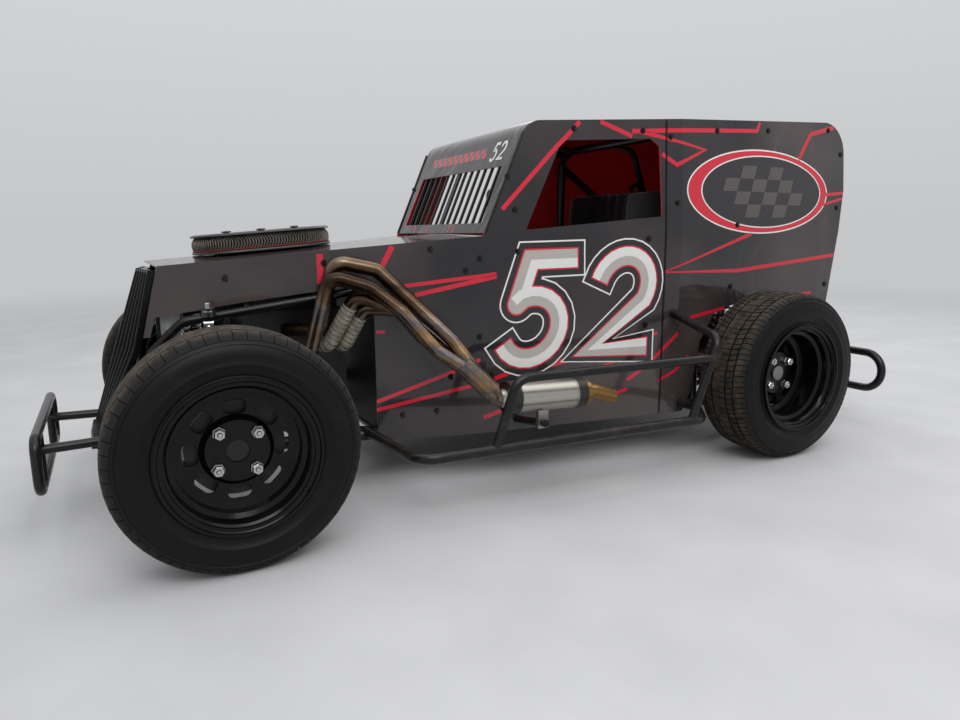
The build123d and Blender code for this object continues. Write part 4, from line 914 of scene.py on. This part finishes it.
for end, (width, tread, count, blocks) in TYRES.items():
    edge = (width - tread) / 2
    wall = [(14, 169), (11, 178), (10.5, 187), (12, 190), (9, 195), (9.5, 200), (5.5, 207), (3.2, 214),
            (1.8, 215.5), (1.8, 218.5), (2.8, 220), (2.4, 232), (4, 243), (edge * 0.35, 253),
            (edge * 0.55, 260), (edge * 0.5, 261.5), (edge * 0.62, 265), (edge * 0.8, 270)]
    shoulder = [(d, crown(d, width, tread) - GROOVE) for d in (edge - 1, edge + 8, edge + 22, width / 2)]
    rows = wall + shoulder + [(width - d, r) for d, r in (wall + shoulder[:-1])[::-1]]
    rows += [(width - 38, 168.5), (width - 50, 203), (50, 203), (38, 168.5)]
    for side, label in ((-1, "left"), (1, "right")):
        body = f"wheel_{end}_{label}"
        axle = wheel_point(end, side, width / 2, 0, 0)
        carcass = bmesh.new()
        skin(carcass, [[wheel_point(end, side, d, r, 2 * math.pi * k / 144) for d, r in rows]
                       for k in range(144)], loop=True)
        tyre_body = piece(f"tyre_body_{end}_{label}", carcass, body, wall_rubber, tread_dust, sharp=50)
        paint(tyre_body.data, lambda face: (face.center - axle).xz.length > TREAD_FOOT)
        one_pitch = bmesh.new()
        is_groove = one_pitch.faces.layers.int.new("groove")
        for block in blocks:
            tops, feet = [], []
            for pair in block:
                ends = [(2 * math.pi / count * u, d, crown(d, width, tread)) for u, d in pair]
                for line, sunk in ((tops, 0), (feet, GROOVE + SUNK)):
                    line.append([one_pitch.verts.new(wheel_point(end, side, d, r - sunk, a))
                                 for a, d, r in ends])
            joins = block[0][0][0] == 0 and block[-1][0][0] == 1
            faces = [(a[0], a[1], b[1], b[0]) for a, b in zip(tops, tops[1:])]
            walls = [(a[0], b[0], d[0], c[0]) for a, b, c, d in zip(tops, tops[1:], feet, feet[1:])]
            walls += [(b[1], a[1], c[1], d[1]) for a, b, c, d in zip(tops, tops[1:], feet, feet[1:])]
            walls += [] if joins else [(tops[0][1], tops[0][0], feet[0][0], feet[0][1]),
                                       (tops[-1][0], tops[-1][1], feet[-1][1], feet[-1][0])]
            for corners in faces + walls:
                made = one_pitch.faces.new(corners if side < 0 else corners[::-1])
                made[is_groove] = int(corners in walls)
        for v in one_pitch.verts:
            v.co -= axle
        patterned(f"tread_{end}_{label}", one_pitch, around_axle, body, "tyre", Count=count, Axle=tuple(axle),
                  Finish=tread_dust, Groove_Finish=groove_black)
        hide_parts(f"tyre_{end}_{label}")

# Each wheel is pressed steel, stove-black, held by four bright cone nuts on a square of studs,
# with a rubber valve through the rim.
nut_bright = coated("nut_bright", "b9b9b6", "8a8782", 0.24, share=0.3, dusty=0.1, Metallic=0.95)
# radius of the nuts' circle and depth of the disc they sit on
for end, ring, dish in (("front", 62, 72), ("rear", 60, 108)):
    for side, label in ((-1, "left"), (1, "right")):
        body = f"wheel_{end}_{label}"
        nut = bmesh.new()
        out = Vector((0, side, 0))
        foot = Vector((0, 0, ring / 1000)) - out * (dish - 1) / 1000
        for rows, sides in (([(0, 15.5), (3, 15.5), (3, 14.2), (17, 14.2), (19, 12), (19, 7), (15, 6)], 6),
                            ([(12, 5.5), (20.5, 5.5), (22, 4.5)], 12)):
            spindle(nut, foot, foot + out, rows, sides)
        patterned(f"wheel_nuts_{end}_{label}", nut, around_axle, body, "hub_steel", Count=4,
                  Axle=tuple(wheel_point(end, side, 0, 0, 0)), Start=math.radians(50), Finish=nut_bright,
                  Groove_Finish=nut_bright)
        valve = bmesh.new()
        spindle(valve, wheel_point(end, side, 24, 174, 2.2), wheel_point(end, side, 0, 168, 2.2),
                [(0, 6), (8, 5.5), (9, 3.5), (24, 3.2), (25, 2.4)], 12)
        piece(f"valve_{end}_{label}", valve, body, groove_black)

# The seat is a padded bucket in black cloth, with sewn channels up the back and along the base.
SEAT_MIDDLE, SEAT_INSIDE, CHANNEL, CHANNEL_DEPTH = -0.112, 0.15, 0.052, 0.007
SEAT_FACING = Vector((-0.6, 0, 0.8))
shaping = stand("shaping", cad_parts["seat"].data.copy())
remesh = shaping.modifiers.new("remesh", "REMESH")
remesh.mode, remesh.voxel_size = "VOXEL", 0.009
soften = shaping.modifiers.new("soften", "SMOOTH")
soften.factor, soften.iterations = 0.5, 5
padding = bpy.data.meshes.new_from_object(shaping.evaluated_get(bpy.context.evaluated_depsgraph_get()))
bpy.data.objects.remove(shaping)
sewn = bmesh.new()
sewn.from_mesh(padding)
sewn.normal_update()
moved = []
for v in sewn.verts:
    out = v.co.y - SEAT_MIDDLE
    inner = abs(out) < SEAT_INSIDE and v.normal.dot(SEAT_FACING) > 0.4
    fall = CHANNEL_DEPTH * (1 - abs(math.sin(math.pi * out / CHANNEL)) ** 0.5) if inner else 0
    moved.append(v.co - v.normal * fall)
for v, place in zip(sewn.verts, moved):
    v.co = place
seat_cloth = finish("seat_cloth", "121214", 0.92, Sheen_Weight=0.35, Sheen_Roughness=0.4)
feed(seat_cloth, "Base Color", mottled(seat_cloth, "0e0e10", "232226", 12, detail=5))
weave = put(seat_cloth.node_tree, "ShaderNodeTexWave", {
    "Vector": object_place(seat_cloth.node_tree), "Scale": 260, "Distortion": 0.6})
bump(seat_cloth, weave.outputs["Fac"], 0.3, 0.0006)
seat_cover = piece("seat_cover", sewn, "chassis", seat_cloth, sharp=80)
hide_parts("seat")

# The steering wheel's rim is wrapped in suede over an alloy ring; its spokes are bare and its
# middle is a quick-release hub.
suede = finish("rim_suede", "151315", 0.95, Sheen_Weight=0.5)
feed(suede, "Base Color", mottled(suede, "100f10", "2a2729", 60, detail=5))
bump(suede, spotted(suede.node_tree, 900, detail=2), 0.4, 0.0004)
dress(["steering_wheel"], suede, alloy)
WHEEL_HEAD, WHEEL_AIM = spot(1060, 0, 775), Vector((590, -215, 215)).normalized()
RIM_INSIDE = 0.144
paint(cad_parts["steering_wheel"].data,
      lambda face: (face.center - WHEEL_HEAD).cross(WHEEL_AIM).length < RIM_INSIDE)

# Three round dials and four switches sit in the instrument panel. Their faces carry a plain
# scale of ticks and a needle.
DASH_BACK, TICKS, NEEDLE = 864.3, range(-130, 131, 26), -95
dial_face = finish("dial_face", "e4e2dc", 0.5)
feed(dial_face, "Roughness", mapped(dial_face.node_tree, spotted(dial_face.node_tree, 30), 0, 1, 0.3, 0.5))
needle_red = coated("needle_red", "c0281e", "7b1a14", 0.4)
dials = bmesh.new()
out = Vector((1, 0, 0))
for y, z, r in ((-60, 712, 31), (-138, 712, 31), (-224, 706, 42)):
    foot = spot(DASH_BACK, y, z)
    spindle(dials, foot, foot + out, [(-0.5, r + 4), (8, r + 4), (10, r + 2), (10, r - 1), (5, r - 1)], 40)
    spindle(dials, foot, foot + out, [(0, r - 1), (5.5, r - 1)], 40, finish=1)
    # every tick and the needle: angle, lift, from, to, half thickness, sides, material
    hands = [(a, 5.7, r - 8, r - 3, 0.6, 4, 0) for a in TICKS] + [(NEEDLE, 6.5, 0, r - 9, 0.9, 6, 2)]
    for angle, lift, near, far, thick, sides, ink in hands:
        way = Vector((0, math.sin(math.radians(angle)), math.cos(math.radians(angle))))
        line = [foot + (out * lift + way * reach) / 1000 for reach in (near, far)]
        bar(dials, line, thick / 1000, sides, ink)
    spindle(dials, foot + out * 0.005, foot + out, [(0, 4), (3, 4), (3.5, 3)], 16)
for i in range(4):
    foot = spot(DASH_BACK, -290, 664 + 27 * i)
    spindle(dials, foot, foot + out, [(0, 7), (4, 7), (4, 4), (7, 4)], 6, finish=3)
    spindle(dials, foot + Vector((0.006, 0, 0)), foot + Vector((0.02, 0, 0.006 if i % 2 else -0.006)),
            [(0, 1.8), (14, 2.6), (15, 2)], 10, finish=3)
dial_set = piece("dials_and_switches", dials, "chassis", bolt_black, dial_face, needle_red, nut_bright)

# The radiator's core is a stack of thin fins between its side tanks, with upright tubes through
# them, seen between the ribs of the grille.
in_row, row_in, row_out = pattern("set_in_row", [
    ("Count", "Int", 10), ("Start", "Vector", (0, 0, 0)), ("Step", "Vector", (0, 0, 0))])
row_line = put(in_row, "GeometryNodeMeshLine", {
    "Count": row_in["Count"], "Start Location": row_in["Start"], "Offset": row_in["Step"]}, mode="OFFSET")
in_row.links.new(spread(in_row, row_line.outputs[0], row_in["Geometry"], row_in["Finish"]),
                 row_out["Geometry"])
fin_alloy = coated("fin_alloy", "3c3d3f", "1d1c1b", 0.5, dusty=0.6, Metallic=0.6)
# size of one, count, place of the first and step to the next
CORE = {"radiator_fins": ((0.004, 0.236, 0.0011), 58, spot(-113.5, 0, 303), (0, 0, 0.0051)),
        "radiator_tubes": ((0.006, 0.0022, 0.298), 18, spot(-113, -110.5, 450), (0, 0.013, 0))}
for name, (span, count, first, step) in CORE.items():
    one = bmesh.new()
    bmesh.ops.create_cube(one, size=1, matrix=Matrix.Diagonal((*span, 1)))
    patterned(name, one, in_row, "chassis", "engine_alloy", Count=count, Start=tuple(first), Step=step,
              Finish=fin_alloy)

# The floor is pale and plain, and melts into the sky at its far edge.
FLOOR_NEAR, FLOOR_FAR = 3.5, 10.0
floor_finish = finish("floor_finish", (0.46, 0.46, 0.47), 0.75, Specular_IOR_Level=0.2)
floor_tree = floor_finish.node_tree
floor_way = put(floor_tree, "ShaderNodeVectorMath", {0: object_place(floor_tree)}, operation="LENGTH")
floor_light = put(floor_tree, "ShaderNodeEmission", {"Color": SKY_COLOUR, "Strength": SKY_LOW})
floor_mix = put(floor_tree, "ShaderNodeMixShader", {
    0: mapped(floor_tree, floor_way.outputs["Value"], FLOOR_NEAR, FLOOR_FAR, interpolation_type="SMOOTHSTEP"),
    1: floor_tree.nodes["Principled BSDF"].outputs[0], 2: floor_light.outputs[0]})
floor_tree.links.new(floor_mix.outputs[0], floor_tree.nodes["Material Output"].inputs["Surface"])
feed(floor_finish, "Base Color", mottled(floor_finish, (0.44, 0.44, 0.45), (0.49, 0.49, 0.495), 3, detail=4))
studio_floor.data.materials.append(floor_finish)
